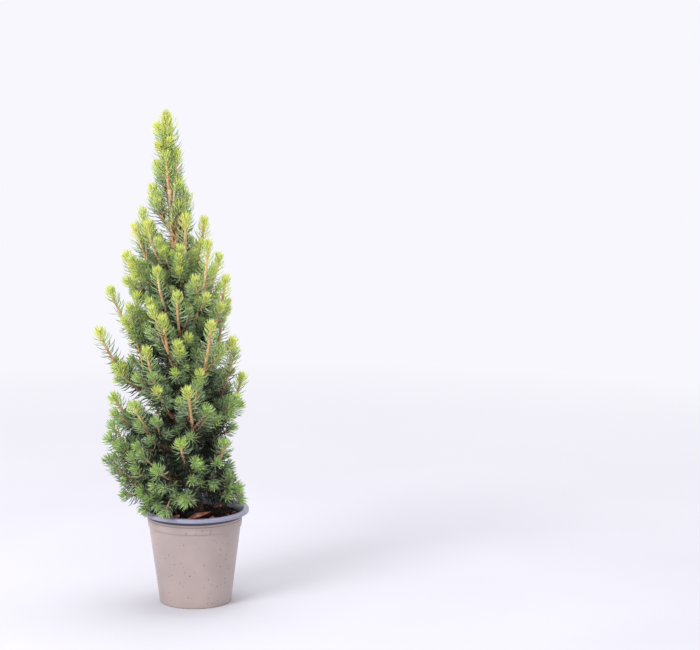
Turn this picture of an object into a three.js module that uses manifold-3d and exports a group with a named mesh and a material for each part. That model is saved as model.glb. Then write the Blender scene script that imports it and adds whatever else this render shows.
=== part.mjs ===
// Potted dwarf white spruce: a round nursery pot filled with soil, one leaning trunk and a dense,
// flame-shaped crown of upswept boughs, each ending in a mass of needle-clad twigs.
// Millimetres, +Z up. The origin is the centre of the pot's flat underside and -Y is the front.
import * as THREE from "three";
import { mergeVertices } from "three/addons/utils/BufferGeometryUtils.js";
import Module from "manifold-3d";

const wasm = await Module();
wasm.setup();

// Clearance
const GAP = 0.3;

// Pot
const POT_HEIGHT = 125;
const POT_FOOT_R = 46.6;
const POT_STEP_Z = 101.5;
const POT_STEP_R = 59.8;
const POT_STEP_OUT = 1.3;
const POT_NECK_R = 62.6;
const POT_RIM_R = 70.8;
const POT_RIM_HEIGHT = 5.2;
const POT_MOUTH_R = 64.4;
const POT_WALL = 1.3;
const POT_FLOOR = 2;
const POT_EDGE = 0.7;
const POT_SIDES = 32;
const DRAIN_COUNT = 6;
const DRAIN_R = 4;
const DRAIN_SIDES = 10;
const DRAIN_RING_R = 33;

// Soil
const SOIL_TOP = 117;
const SOIL_INSET = 0.6;
const SOIL_EDGE_DROP = 2;
const SOIL_LUMP = 1.4;
const SOIL_FLAT_R = 13;
const SOIL_SIDES = 28;

// Trunk
const TRUNK_TOP_Z = 592;
const TRUNK_FOOT_X = 5.5;
const TRUNK_LEAN = -0.082;
const TRUNK_SWAY = 1.6;
const TRUNK_SWAY_LENGTH_X = 210;
const TRUNK_SWAY_LENGTH_Y = 300;
const TRUNK_FOOT_R = 5.2;
const TRUNK_TIP_R = 1.6;
const TRUNK_TAPER_POWER = 0.6;
const FLARE_OUT = 3.6;
const FLARE_HEIGHT = 9;
const FLARE_ROOTS = 3;
const FLARE_RIDGE = 0.25;
const TRUNK_SIDES = 10;
const TRUNK_RINGS = 17;
const TRUNK_RING_CROWDING = 1.25;

// Crown
const LEADER_TIP_Z = 634;
const CROWN_SKEW = 0.17;
const CROWN_PROFILE = [
  [126, 66], [150, 82], [200, 92], [290, 88], [420, 72], [466, 58], [505, 38], [535, 24], [650, 14],
];

// Limbs
const LIMB_OUT = 0.72;
const LIMB_ELBOW = 4;
const LIMB_LIFT = 0.24;
const LIMB_ARCH = 0.1;
const LIMB_STRAY = 7;
const LIMB_STEPS = 9;
const STRAIGHT = 0.02;
const STEEP = 0.8;
const TIP_BRUSH = 9;
const BOUGH_SHARE = 0.36;
const BOUGH_FOOT_R = 2.3;
const BOUGH_END_R = 1.75;
const BOUGH_SIDES = 6;
const BOUGH_RINGS = 4;

// Twigs and needles
const STEM_R = 1.6;
const STEM_STEP = 0.001;
const STEM_THINNING = 0.6;
const CORE_PROFILE = [
  [150, 13], [380, 11], [480, 7], [540, 4.5], [650, 4],
];
const CORE_SHARES = [1, 0.75, 0.5, 0.25];
const TWIG_R = 1.1;
const TWIG_CORE_R = 3.6;
const TWIG_EVERY = 29;
const TWIG_TURN = 137.5;
const TWIG_ANGLE = 43;
const TWIG_FIRST = 0.04;
const TWIG_SPREAD = 0.42;
const TWIG_JITTER = 0.6;
const TWIG_SHARE = 0.5;
const TWIG_EXTRA = 8;
const TWIG_MAX = 48;
const TWIG_MIN = 14;
const TWIG_RISE = 0.35;
const TWIG_TURNS = 4;
const TWIG_TRIM = 0.22;
const TWIG_TRIMS = 3;
const TWIG_TESTS = [0.4, 0.6, 0.8, 1];
const NEEDLE_LENGTH = 14.5;
const NEEDLE_SHORTEST = 0.85;
const NEEDLE_LONGEST = 1.1;
const END_NEEDLE = 0.9;
const NEEDLE_WOBBLE = 0.16;
const NEEDLE_SPIRAL = 0.3;
const STEM_SIDES = 6;
const STEM_PITCH = 14;
const TWIG_SIDES = 4;
const TWIG_PITCH = 11;
const SHOOT_STEPS = 6;
const NEEDLE_ANGLE_FOOT = 54;
const NEEDLE_ANGLE_TIP = 17;
const SPACE_MARGIN = 1.4;
const SHOOT_CLEAR = 5;
const TRUNK_MARGIN = 1.2;
const RIM_MARGIN = 1.8;
const DROOP_LIMIT = 12;

// Limbs by place: bearing in degrees (0 is +X, -90 is the front), height of the foot on the trunk,
// reach from the trunk, height of the tip, 1 where a bare bough shows below the foliage, and how
// dense the foliage is where it is thinner than the rest
const LIMBS = {
  top_right: [-35, 506, 9, 600, 0],
  top_front: [-105, 545, 13, 598, 0],
  top_left: [-175, 494, 24, 553, 0],
  top_front_right: [-62, 466, 16, 536, 0],
  top_back_right: [35, 450, 19, 541, 0],
  top_back: [110, 520, 15, 582, 0],
  upper_left: [-172, 404, 57, 504, 0],
  upper_left_front: [-147, 428, 44, 510, 0],
  upper_front: [-70, 408, 27, 519, 0],
  upper_right: [18, 416, 36, 509, 0],
  upper_back: [102, 396, 40, 500, 0],
  left_high: [172, 362, 75, 465, 1],
  right_front_high: [-45, 346, 49, 487, 1],
  right_high: [10, 372, 49, 463, 0],
  front_left_high: [-127, 352, 52, 454, 0],
  left_middle: [-176, 306, 97, 421, 0],
  right_middle: [-17, 312, 58, 439, 1],
  front_high: [-96, 330, 57, 424, 0],
  front_left_middle: [-113, 280, 70, 395, 1],
  back_left_high: [130, 316, 64, 428, 0],
  back_right_high: [66, 330, 54, 442, 0],
  right_front_middle: [-62, 250, 72, 387, 1],
  left_stray: [-174, 240, 119, 369, 1, 0.4],
  right_low: [-22, 214, 60, 359, 0],
  front_left_low: [-133, 222, 81, 352, 1],
  back_left_middle: [152, 250, 86, 352, 1],
  back_middle: [102, 238, 80, 345, 0],
  back_right_middle: [48, 262, 66, 378, 1],
  left_low: [-168, 200, 108, 283, 0],
  front_low: [-93, 200, 84, 304, 1],
  left_front_low: [-143, 186, 98, 280, 0],
  back_left_low: [128, 186, 92, 262, 0],
  back_low: [82, 196, 86, 268, 1],
  back_right_low: [28, 204, 72, 300, 0],
  foot_left: [-168, 166, 119, 228, 1],
  foot_right: [-55, 166, 69, 229, 0],
  foot_front: [-100, 170, 89, 235, 0],
  foot_front_left: [-122, 156, 96, 196, 0],
  foot_right_level: [-30, 148, 68, 158, 0],
  foot_front_level: [-100, 144, 90, 150, 0],
  foot_left_level: [-148, 142, 90, 156, 0],
  foot_back_left: [170, 150, 104, 190, 0],
  foot_back: [122, 150, 88, 180, 0],
  foot_back_right: [66, 150, 82, 184, 0],
};

// Seeds that keep the chances of different things apart
const SEED_STRAY = 900;
const SEED_TURN = 500;
const SEED_WOBBLE = 40;
const SEED_LENGTH = 60;
const SEED_SOIL = 7;
const SEEDS_PER_LIMB = 97;
const SEEDS_PER_SHOOT = 13;

const UP = new THREE.Vector3(0, 0, 1);

const COLOURS = {
  pot: new THREE.Color(0xbcabab),
  soil: new THREE.Color(0x2b2320),
  trunk: new THREE.Color(0xb18559),
  bough: new THREE.Color(0x94653f),
  foliageLow: new THREE.Color(0x5c7d45),
  foliageHigh: new THREE.Color(0xa0b650),
};

// One value from 0 to 1 for each pair of whole numbers
function chance(first, second) {
  let mixed = Math.imul(first + 1, 374761393) ^ Math.imul(second + 1, 668265263);
  mixed = Math.imul(mixed ^ (mixed >>> 13), 1274126177);
  return ((mixed ^ (mixed >>> 16)) >>> 0) / 4294967296;
}

function radians(degrees) {
  return (degrees * Math.PI) / 180;
}

function profileAt(profile, height) {
  for (let i = 1; i < profile.length; i += 1) {
    const [lowZ, lowR] = profile[i - 1];
    const [highZ, highR] = profile[i];
    if (height <= highZ) {
      const share = Math.max(0, (height - lowZ) / (highZ - lowZ));
      return lowR + (highR - lowR) * share;
    }
  }
  return profile[profile.length - 1][1];
}

function mix(from, to, share) {
  return from + (to - from) * share;
}

// Solids from closed meshes, and meshes from solids
function mergedGeometry(geometry) {
  geometry.deleteAttribute("normal");
  geometry.deleteAttribute("uv");
  return mergeVertices(geometry, 1e-4);
}

function toSolid(geometry) {
  const merged = mergedGeometry(geometry);
  return new wasm.Manifold(
    new wasm.Mesh({
      numProp: 3,
      vertProperties: new Float32Array(merged.attributes.position.array),
      triVerts: new Uint32Array(merged.index.array),
    }),
  );
}

function toGeometry(solid) {
  const mesh = solid.getMesh();
  const geometry = new THREE.BufferGeometry();
  geometry.setAttribute("position", new THREE.BufferAttribute(mesh.vertProperties, 3));
  geometry.setIndex(new THREE.BufferAttribute(mesh.triVerts, 1));
  return geometry;
}

// The largest body of a solid, without any loose scrap
function largestBody(solid) {
  const bodies = solid.decompose();
  bodies.sort((a, b) => b.volume() - a.volume());
  return bodies[0];
}

// The direction square to the plane that a curve bends in
function bendNormal(curve) {
  const first = curve.getTangent(0);
  const normal = new THREE.Vector3().crossVectors(first, curve.getTangent(1));
  if (normal.length() < STRAIGHT) {
    normal.crossVectors(first, Math.abs(first.z) < STEEP ? UP : new THREE.Vector3(1, 0, 0));
  }
  return normal.normalize();
}

// The direction at an angle about a heading, counted from the bend's normal
function turnedDirection(heading, normal, angle) {
  const over = new THREE.Vector3().crossVectors(heading, normal);
  return over.multiplyScalar(Math.sin(angle)).addScaledVector(normal, Math.cos(angle)).normalize();
}

// Rings of points joined into one closed skin, with a fan at the foot and one at the tip.
// Where spiked is true, every other point is a needle's tip, and each quad is cut between its
// two low points so that every needle is a pyramid of its own
function skin(rings, footPoint, tipPoint, spiked) {
  const sides = rings[0].length;
  const positions = rings.flat().concat([footPoint, tipPoint]).flatMap((p) => [p.x, p.y, p.z]);
  const foot = rings.length * sides;
  const tip = foot + 1;
  const triangles = [];
  for (let k = 0; k < sides; k += 1) {
    const next = (k + 1) % sides;
    triangles.push(foot, next, k);
    for (let i = 0; i + 1 < rings.length; i += 1) {
      const a = i * sides + k;
      const b = i * sides + next;
      const c = b + sides;
      const d = a + sides;
      if (spiked && (i + k) % 2 === 1) {
        triangles.push(a, b, c, a, c, d);
      } else {
        triangles.push(a, b, d, b, c, d);
      }
    }
    const last = (rings.length - 1) * sides;
    triangles.push(last + k, last + next, tip);
  }
  const geometry = new THREE.BufferGeometry();
  geometry.setAttribute("position", new THREE.Float32BufferAttribute(positions, 3));
  geometry.setIndex(triangles);
  return geometry;
}

// Trunk line and thickness
function trunkPoint(height) {
  const above = height - SOIL_TOP;
  return new THREE.Vector3(
    TRUNK_FOOT_X + TRUNK_LEAN * above + TRUNK_SWAY * Math.sin((2 * Math.PI * above) / TRUNK_SWAY_LENGTH_X),
    TRUNK_SWAY * Math.sin((2 * Math.PI * above) / TRUNK_SWAY_LENGTH_Y),
    height,
  );
}

function trunkRadius(height) {
  const share = THREE.MathUtils.clamp((height - SOIL_TOP) / (TRUNK_TOP_Z - SOIL_TOP), 0, 1);
  return TRUNK_TIP_R + (TRUNK_FOOT_R - TRUNK_TIP_R) * (1 - share) ** TRUNK_TAPER_POWER;
}

// The trunk from a flat foot to its tip, or the same shape grown by a clearance
function trunkGeometry(extra) {
  const bottom = SOIL_TOP + GAP - extra;
  const rings = [];
  for (let i = 0; i <= TRUNK_RINGS; i += 1) {
    const height = mix(bottom, TRUNK_TOP_Z + extra, (i / TRUNK_RINGS) ** TRUNK_RING_CROWDING);
    const flare = FLARE_OUT * Math.exp(-(height - SOIL_TOP) / FLARE_HEIGHT);
    rings.push(
      Array.from({ length: TRUNK_SIDES }, (_, k) => {
        const angle = (2 * Math.PI * k) / TRUNK_SIDES;
        const spread = new THREE.Vector3(Math.cos(angle), Math.sin(angle), 0);
        const ridge = 1 - FLARE_RIDGE + FLARE_RIDGE * Math.cos(FLARE_ROOTS * angle);
        return trunkPoint(height).addScaledVector(spread, trunkRadius(height) + extra + flare * ridge);
      }),
    );
  }
  return skin(rings, trunkPoint(bottom), trunkPoint(TRUNK_TOP_Z + extra), false);
}

// A limb's line: out from the trunk, then up to its tip
function limbCurve(index, [bearing, footZ, reach, tipZ]) {
  const foot = trunkPoint(footZ);
  const outward = (degrees, length) =>
    new THREE.Vector3(length, 0, 0).applyAxisAngle(UP, radians(degrees));
  const stray = LIMB_STRAY * (2 * chance(index, SEED_STRAY) - 1);
  const rise = tipZ - footZ;
  const middle = foot.clone().add(outward(bearing + stray, reach * LIMB_OUT + LIMB_ELBOW));
  middle.z += rise * LIMB_LIFT + reach * LIMB_ARCH;
  const tip = foot.clone().add(outward(bearing, reach));
  tip.z = tipZ;
  tip.addScaledVector(tip.clone().sub(middle).normalize(), -TIP_BRUSH);
  return new THREE.QuadraticBezierCurve3(foot, middle, tip);
}

const limbs = Object.entries(LIMBS).map(([name, sizes], index) => ({
  name,
  index,
  sizes,
  hasBough: sizes[4] === 1,
  density: sizes[5] ?? 1,
  curve: limbCurve(index, sizes),
}));
limbs.push({
  name: "leader",
  index: limbs.length,
  sizes: [0, TRUNK_TOP_Z, 0, LEADER_TIP_Z, 0],
  hasBough: false,
  density: 1,
  curve: new THREE.QuadraticBezierCurve3(
    trunkPoint(TRUNK_TOP_Z + GAP),
    trunkPoint((TRUNK_TOP_Z + LEADER_TIP_Z) / 2),
    new THREE.Vector3(trunkPoint(TRUNK_TOP_Z).x, trunkPoint(TRUNK_TOP_Z).y, LEADER_TIP_Z),
  ),
});
for (const limb of limbs) {
  limb.line = limb.curve.getPoints(LIMB_STEPS);
}

function distanceToLine(point, line) {
  let nearest = Infinity;
  const closest = new THREE.Vector3();
  for (let i = 1; i < line.length; i += 1) {
    new THREE.Line3(line[i - 1], line[i]).closestPointToPoint(point, true, closest);
    nearest = Math.min(nearest, closest.distanceTo(point));
  }
  return nearest;
}

// Whether a point lies in the space of one limb, clear of the trunk, the pot and the other limbs
function inSpace(point, limb, margin) {
  const trunkHeight = Math.min(point.z, TRUNK_TOP_Z);
  const fromTrunk = point.distanceTo(trunkPoint(trunkHeight));
  if (limb.name !== "leader" && fromTrunk < trunkRadius(trunkHeight) + TRUNK_MARGIN) {
    return false;
  }
  if (Math.hypot(point.x, point.y) < POT_RIM_R + RIM_MARGIN && point.z < POT_HEIGHT + RIM_MARGIN) {
    return false;
  }
  if (point.z < POT_HEIGHT - DROOP_LIMIT) {
    return false;
  }
  const own = distanceToLine(point, limb.line);
  return limbs.every(
    (other) => other === limb || distanceToLine(point, other.line) > own + margin,
  );
}

// Whether a point lies inside the crown's outline, which bulges to the left
function inCrown(point) {
  const axis = trunkPoint(Math.min(point.z, TRUNK_TOP_Z));
  const across = point.clone().sub(axis);
  const radius = Math.hypot(across.x, across.y);
  const skew = 1 - (CROWN_SKEW * across.x) / Math.max(radius, 1);
  return radius < profileAt(CROWN_PROFILE, point.z) * skew;
}

// Whether a point is clear of the other shoots of the same mass
function clearOfShoots(point, shoot, shoots) {
  return shoots.every((other) => other === shoot || distanceToLine(point, other.line) > SHOOT_CLEAR);
}

// A point of a shoot's core: as far out as the dense foliage reaches inside its own space
function corePoint(centre, outward, slimR, denseR, limb) {
  for (const share of CORE_SHARES) {
    const point = centre.clone().addScaledVector(outward, mix(slimR, denseR, share));
    if (inSpace(point, limb, SPACE_MARGIN) && inCrown(point)) {
      return point;
    }
  }
  return centre.clone().addScaledVector(outward, slimR);
}

// One shoot: a slim core along a curve, with needles standing out of it and leaning forward
function shootGeometry(shoot, shoots, limb) {
  const { curve, seed, rootR, coreR, fromShare, sides, pitch } = shoot;
  const length = curve.getLength() * (1 - fromShare);
  const count = Math.max(3, Math.round(length / pitch));
  const normal = bendNormal(curve);
  const rings = [];
  for (let i = 0; i <= count; i += 1) {
    const along = i / count;
    const share = mix(fromShare, 1, along);
    const centre = curve.getPoint(share);
    const heading = curve.getTangent(share);
    const slimR = rootR * mix(1, STEM_THINNING, along);
    const denseR = mix(slimR, coreR, 4 * along * (1 - along));
    const lean = radians(mix(NEEDLE_ANGLE_FOOT, NEEDLE_ANGLE_TIP, share ** 3));
    rings.push(
      Array.from({ length: sides }, (_, k) => {
        const wobble = NEEDLE_WOBBLE * (chance(seed + i, SEED_WOBBLE + k) - 0.5);
        const angle = (2 * Math.PI * (k + wobble)) / sides + seed + i * NEEDLE_SPIRAL;
        const outward = turnedDirection(heading, normal, angle);
        const low = corePoint(centre, outward, slimR, denseR, limb);
        if (i === 0 || (i + k) % 2 === 1) {
          return low;
        }
        const size = mix(NEEDLE_SHORTEST, NEEDLE_LONGEST, chance(seed + i, SEED_LENGTH + k));
        const needle = NEEDLE_LENGTH * size;
        const high = low.clone().addScaledVector(outward, needle * Math.sin(lean));
        high.addScaledVector(heading, needle * Math.cos(lean));
        const middle = low.clone().lerp(high, 0.5);
        const clear = [middle, high].every(
          (point) => inSpace(point, limb, SPACE_MARGIN) && clearOfShoots(point, shoot, shoots),
        );
        return clear ? high : low;
      }),
    );
  }
  const tip = curve.getPoint(1).addScaledVector(curve.getTangent(1), NEEDLE_LENGTH * END_NEEDLE);
  return skin(rings, curve.getPoint(fromShare), tip, true);
}

// Side twigs branch at a fixed turn, shorten towards the tip and curve up to run with the stem
function twigCurve(limb, startShare, turn, length) {
  const start = limb.curve.getPoint(startShare);
  const heading = limb.curve.getTangent(startShare);
  const outward = turnedDirection(heading, bendNormal(limb.curve), turn);
  const first = heading.clone().multiplyScalar(Math.cos(radians(TWIG_ANGLE)));
  first.addScaledVector(outward, Math.sin(radians(TWIG_ANGLE)));
  const second = first.clone().add(heading).addScaledVector(UP, TWIG_RISE).normalize();
  const middle = start.clone().addScaledVector(first, length / 2);
  const tip = middle.clone().addScaledVector(second, length / 2);
  return new THREE.QuadraticBezierCurve3(start, middle, tip);
}

function twigFits(curve, limb) {
  return TWIG_TESTS.every((share) => {
    const point = curve.getPoint(share);
    return inSpace(point, limb, 2 * TWIG_R + SPACE_MARGIN) && inCrown(point);
  });
}

function sideTwigs(limb, fromShare) {
  const stemLength = limb.curve.getLength() * (1 - fromShare);
  const count = Math.max(1, Math.round(stemLength / TWIG_EVERY));
  const twigs = [];
  for (let j = 0; j < count; j += 1) {
    const jitter = TWIG_JITTER * (chance(limb.index, j) - 0.5);
    const along = TWIG_FIRST + (TWIG_SPREAD * (j + 0.5 + jitter)) / count;
    const wished = Math.min(TWIG_MAX, TWIG_SHARE * stemLength * (1 - along) + TWIG_EXTRA);
    for (let attempt = 0; attempt < TWIG_TURNS * TWIG_TRIMS; attempt += 1) {
      const turn = radians(TWIG_TURN * (j + attempt) + 360 * chance(limb.index, SEED_TURN));
      const length = limb.density * wished * (1 - TWIG_TRIM * Math.floor(attempt / TWIG_TURNS));
      const curve = twigCurve(limb, mix(fromShare, 1, along), turn, length);
      if (length >= TWIG_MIN && twigFits(curve, limb)) {
        twigs.push(curve);
        break;
      }
    }
  }
  return twigs;
}

// Where a stem leaves the trunk: the first place whose whole end is clear of it
function stemStart(limb) {
  if (limb.name === "leader") {
    return 0;
  }
  if (limb.hasBough) {
    return BOUGH_SHARE + GAP / limb.curve.getLength();
  }
  for (let share = 0; share < 1; share += STEM_STEP) {
    const point = limb.curve.getPoint(share);
    const across = point.clone().sub(trunkPoint(point.z));
    const slope = limb.curve.getTangent(share).dot(across.clone().normalize());
    const reach = STEM_R * Math.sqrt(1 - slope * slope);
    if (across.length() > trunkRadius(point.z) + reach + GAP) {
      return share;
    }
  }
  return 1;
}

// A mass: its stem with a dense core, and its side twigs, fused into one body
function foliageSolid(limb) {
  const fromShare = stemStart(limb);
  const stemCoreR = profileAt(CORE_PROFILE, limb.sizes[3]) * limb.density;
  const curves = [limb.curve, ...sideTwigs(limb, fromShare)];
  const shoots = curves.map((curve, j) => ({
    curve,
    line: curve.getPoints(SHOOT_STEPS),
    seed: SEEDS_PER_LIMB * limb.index + SEEDS_PER_SHOOT * j,
    rootR: j === 0 ? STEM_R : TWIG_R,
    coreR: j === 0 ? stemCoreR : TWIG_CORE_R,
    fromShare: j === 0 ? fromShare : 0,
    sides: j === 0 ? STEM_SIDES : TWIG_SIDES,
    pitch: j === 0 ? STEM_PITCH : TWIG_PITCH,
  }));
  const solids = shoots.map((shoot) => toSolid(shootGeometry(shoot, shoots, limb)));
  return largestBody(solids.reduce((joined, next) => joined.add(next)));
}

// A bough from the trunk, cut clear of it, to the foot of its mass
function boughSolid(limb, trunkClear) {
  const normal = bendNormal(limb.curve);
  const rings = [];
  for (let i = 0; i <= BOUGH_RINGS; i += 1) {
    const share = (BOUGH_SHARE * i) / BOUGH_RINGS;
    const radius = mix(BOUGH_FOOT_R, BOUGH_END_R, i / BOUGH_RINGS);
    const centre = limb.curve.getPoint(share);
    const heading = limb.curve.getTangent(share);
    rings.push(
      Array.from({ length: BOUGH_SIDES }, (_, k) => {
        const outward = turnedDirection(heading, normal, (2 * Math.PI * k) / BOUGH_SIDES);
        return centre.clone().addScaledVector(outward, radius);
      }),
    );
  }
  const end = limb.curve.getPoint(BOUGH_SHARE);
  return largestBody(toSolid(skin(rings, limb.curve.getPoint(0), end, false)).subtract(trunkClear));
}

// Pot and soil
function latheAboutZ(profile, sides) {
  const points = profile.map(([r, z]) => new THREE.Vector2(r, z));
  return new THREE.LatheGeometry(points, sides).rotateX(Math.PI / 2);
}

function potSolid() {
  const rimFoot = POT_HEIGHT - POT_RIM_HEIGHT;
  const stepTop = POT_STEP_Z + POT_STEP_OUT;
  const profile = [
    [0, 0],
    [POT_FOOT_R - POT_EDGE, 0],
    [POT_FOOT_R, POT_EDGE],
    [POT_STEP_R, POT_STEP_Z],
    [POT_STEP_R + POT_STEP_OUT, stepTop],
    [POT_NECK_R, rimFoot],
    [POT_RIM_R - POT_EDGE, rimFoot],
    [POT_RIM_R, rimFoot + POT_EDGE],
    [POT_RIM_R, POT_HEIGHT - POT_EDGE],
    [POT_RIM_R - POT_EDGE, POT_HEIGHT],
    [POT_MOUTH_R, POT_HEIGHT],
    [POT_NECK_R - POT_WALL, rimFoot],
    [POT_STEP_R + POT_STEP_OUT - POT_WALL, stepTop],
    [POT_STEP_R - POT_WALL, POT_STEP_Z],
    [POT_FOOT_R - POT_WALL, POT_FLOOR],
    [0, POT_FLOOR],
  ];
  let pot = toSolid(latheAboutZ(profile, POT_SIDES));
  for (let i = 0; i < DRAIN_COUNT; i += 1) {
    const angle = (2 * Math.PI * i) / DRAIN_COUNT;
    const hole = new THREE.CylinderGeometry(DRAIN_R, DRAIN_R, POT_FLOOR * 3, DRAIN_SIDES);
    hole.rotateX(Math.PI / 2);
    hole.translate(DRAIN_RING_R * Math.cos(angle), DRAIN_RING_R * Math.sin(angle), POT_FLOOR / 2);
    pot = pot.subtract(toSolid(hole));
  }
  return pot;
}

// Soil fills the pot to just under its rim, flat round the trunk and lumpy elsewhere
function soilGeometry() {
  const inset = POT_WALL + SOIL_INSET;
  const edgeR = POT_STEP_R - inset;
  const edgeZ = SOIL_TOP - SOIL_EDGE_DROP;
  const profile = [
    [0, POT_FLOOR + GAP],
    [POT_FOOT_R - inset, POT_FLOOR + GAP],
    [edgeR, POT_STEP_Z],
    [edgeR + SOIL_INSET, edgeZ],
    [mix(edgeR, SOIL_FLAT_R, 1 / 3), mix(edgeZ, SOIL_TOP, 2 / 3)],
    [mix(edgeR, SOIL_FLAT_R, 2 / 3), SOIL_TOP],
    [SOIL_FLAT_R, SOIL_TOP],
    [0, SOIL_TOP],
  ];
  const merged = mergedGeometry(latheAboutZ(profile, SOIL_SIDES));
  const position = merged.attributes.position;
  for (let i = 0; i < position.count; i += 1) {
    const radius = Math.hypot(position.getX(i), position.getY(i));
    if (position.getZ(i) > POT_STEP_Z + 1 && radius > SOIL_FLAT_R + 1) {
      position.setZ(i, position.getZ(i) + SOIL_LUMP * (chance(i, SEED_SOIL) - 0.5));
    }
  }
  return merged;
}

// The plant, pot first
const plant = new THREE.Group();

function place(name, geometry, colour, roughness) {
  geometry.computeVertexNormals();
  const material = new THREE.MeshStandardMaterial({ color: colour, roughness, metalness: 0 });
  const mesh = new THREE.Mesh(geometry, material);
  mesh.name = name;
  plant.add(mesh);
}

place("pot", toGeometry(potSolid()), COLOURS.pot, 0.45);
place("soil", soilGeometry(), COLOURS.soil, 0.95);
place("trunk", trunkGeometry(0), COLOURS.trunk, 0.85);

const trunkClear = toSolid(trunkGeometry(GAP));
for (const limb of limbs) {
  if (limb.hasBough) {
    place(`bough_${limb.name}`, toGeometry(boughSolid(limb, trunkClear)), COLOURS.bough, 0.85);
  }
  const share = (limb.sizes[3] - POT_HEIGHT) / (LEADER_TIP_Z - POT_HEIGHT);
  const green = COLOURS.foliageLow.clone().lerp(COLOURS.foliageHigh, share);
  place(`foliage_${limb.name}`, toGeometry(foliageSolid(limb)), green, 0.7);
}

export default plant;
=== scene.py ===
# Potted dwarf white spruce: pot, growing mix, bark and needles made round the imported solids.
# Sizes are real millimetres and become metres where a mesh is made. +Z is up and -Y is the front.
import math

import bpy
import numpy as np
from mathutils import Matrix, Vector


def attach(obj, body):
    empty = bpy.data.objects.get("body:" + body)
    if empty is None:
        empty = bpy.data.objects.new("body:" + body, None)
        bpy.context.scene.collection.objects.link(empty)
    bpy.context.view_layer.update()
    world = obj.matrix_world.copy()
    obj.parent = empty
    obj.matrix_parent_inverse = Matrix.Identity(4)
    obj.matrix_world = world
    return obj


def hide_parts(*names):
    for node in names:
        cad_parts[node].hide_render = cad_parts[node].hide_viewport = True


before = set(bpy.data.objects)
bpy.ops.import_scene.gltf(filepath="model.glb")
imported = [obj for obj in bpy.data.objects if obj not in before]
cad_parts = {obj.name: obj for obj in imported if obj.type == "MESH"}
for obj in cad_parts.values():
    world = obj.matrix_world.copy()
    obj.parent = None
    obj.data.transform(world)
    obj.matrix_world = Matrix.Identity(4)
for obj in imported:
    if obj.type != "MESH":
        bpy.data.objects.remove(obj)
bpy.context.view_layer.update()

MM = 0.001
UP = np.array([0.0, 0.0, 1.0])
BOUGH_NODES = [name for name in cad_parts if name.startswith("bough_")]
FOLIAGE_NODES = [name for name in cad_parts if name.startswith("foliage_")]

# The photograph's camera
CAMERA_PLACE = (203.1, -4056.4, 1082.5)
CAMERA_TILT = 80.0
CAMERA_LENS = 163.54
CAMERA_SENSOR = 36.0

# Studio: the lit floor fades into an even backdrop between these distances, in metres
FLOOR_COLOUR = (195, 194, 201)
BACKDROP_COLOUR = (248, 247, 254)
FLOOR_FADES = (0.6, 1.7)
FLOOR_R = 40.0
FLOOR_SIDES = 96

# Pot: a small step stands below the rim. Under the rim lie a dark seam ring, painted shade in the gap
# under the rim, and a fine dark line, painted shade in a shallow groove
POT_HEIGHT = 125
POT_FOOT_R = 46.6
POT_STEP_Z = 101.5
POT_STEP_R = 59.8
POT_STEP_OUT = 1.3
POT_NECK_R = 62.6
POT_RIM_R = 70.8
POT_RIM_HEIGHT = 5.2
POT_MOUTH_R = 64.4
POT_WALL = 1.3
POT_FLOOR = 2
POT_SIDES = 160
POT_FOOT_ROUND = 1.6
POT_LIP_ROUND = 1.5
POT_LIP_FOOT_ROUND = 0.8
POT_MOUTH_ROUND = 1.6
POT_SEAM_OUT = 0.2
POT_SEAM_FOOT = 4.9
POT_LINE_R = 62
POT_LINE_Z = 112
POT_LINE_HALF = 0.5
POT_BAND_DEPTH = 1
POT_GROOVE = 0.35
POT_SPECKS = 250
DRAIN_COUNT = 6
DRAIN_R = 4
DRAIN_RING_R = 33
DRAIN_SPAN = (-3, 6)
DRAIN_SIDES = 24
POT_CENTRE_R = DRAIN_RING_R - 2 * DRAIN_R
POT_SLOPE = (POT_STEP_R - POT_FOOT_R) / POT_STEP_Z
POT_RIM_FOOT = POT_HEIGHT - POT_RIM_HEIGHT
POT_SKIN = POT_WALL / 2
SMOOTH_BELOW = 35
TAUPE = (174, 158, 153)
BLUE_GREY = (152, 151, 174)
# Painted shade: the dark ring on the seam in the gap under the rim
SEAM_SHADE_COLOUR = (74, 70, 82)
# Painted shade: the dark line in the neck's shallow groove
GROOVE_SHADE_COLOUR = (134, 119, 115)
SPECK_COLOUR = (70, 58, 52)

# Soil
SOIL_TOP = 117
SOIL_R = 60.2
SOIL_EDGE_DROP = 2
SOIL_RINGS = 64
SOIL_SIDES = 200
SOIL_GAP = 0.3
SOIL_FIRST_RING = 0.02
SOIL_FLAT_R = 14
SOIL_FLAT_LEAST = 0.2
SOIL_COLOURS = ((22, 17, 16), (48, 36, 32), (98, 70, 56))
SEED_SOIL = 11

# Lumps of the mix, from coarse to fine: how high and how wide they are
SOIL_LUMPS = ((1.1, 9), (0.7, 3.4), (0.3, 1.3))

# Crumbs, which are rough lumps
CRUMBS = 1500
CRUMBS_FROM = 12
CRUMBS_REACH = 0.97
CRUMB_SIZES = (1.2, 4.2)
CRUMB_LENGTHS = (1, 2.2)
CRUMB_HEIGHTS = (0.35, 0.9)
CRUMB_RISE = 0.15
SEED_CRUMBS = 5100
SEED_CRUMB = 5200
SEED_CRUMB_TURN = 90
SEED_CRUMB_LIFT = 91
LUMP_BULGE = 1.3
LUMP_ROUGH = (0.72, 1.2)

# One crumb in many is a chip of bark
CHIP_FROM = 0.985
CHIP_COLOURS = ((112, 58, 46), (186, 112, 92), (244, 186, 160))
SEED_CHIP = 6001
CHIP_FLAT = 0.5

# Large chips of bark: place, height over the mix, length, width, and how they turn and lift in degrees
PLACED_CHIPS = (
    (5, -45, 6.8, 34, 16, 6, 17), (24, -43, 5, 10, 8, 60, 25), (-24, -48, 6, 19, 10, 12, 26),
    (44, -14, 1.6, 13, 6, 120, 0), (30, 38, 1.6, 20, 9, 40, 0), (-26, 44, 1.6, 15, 7, 200, 0),
)

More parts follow.
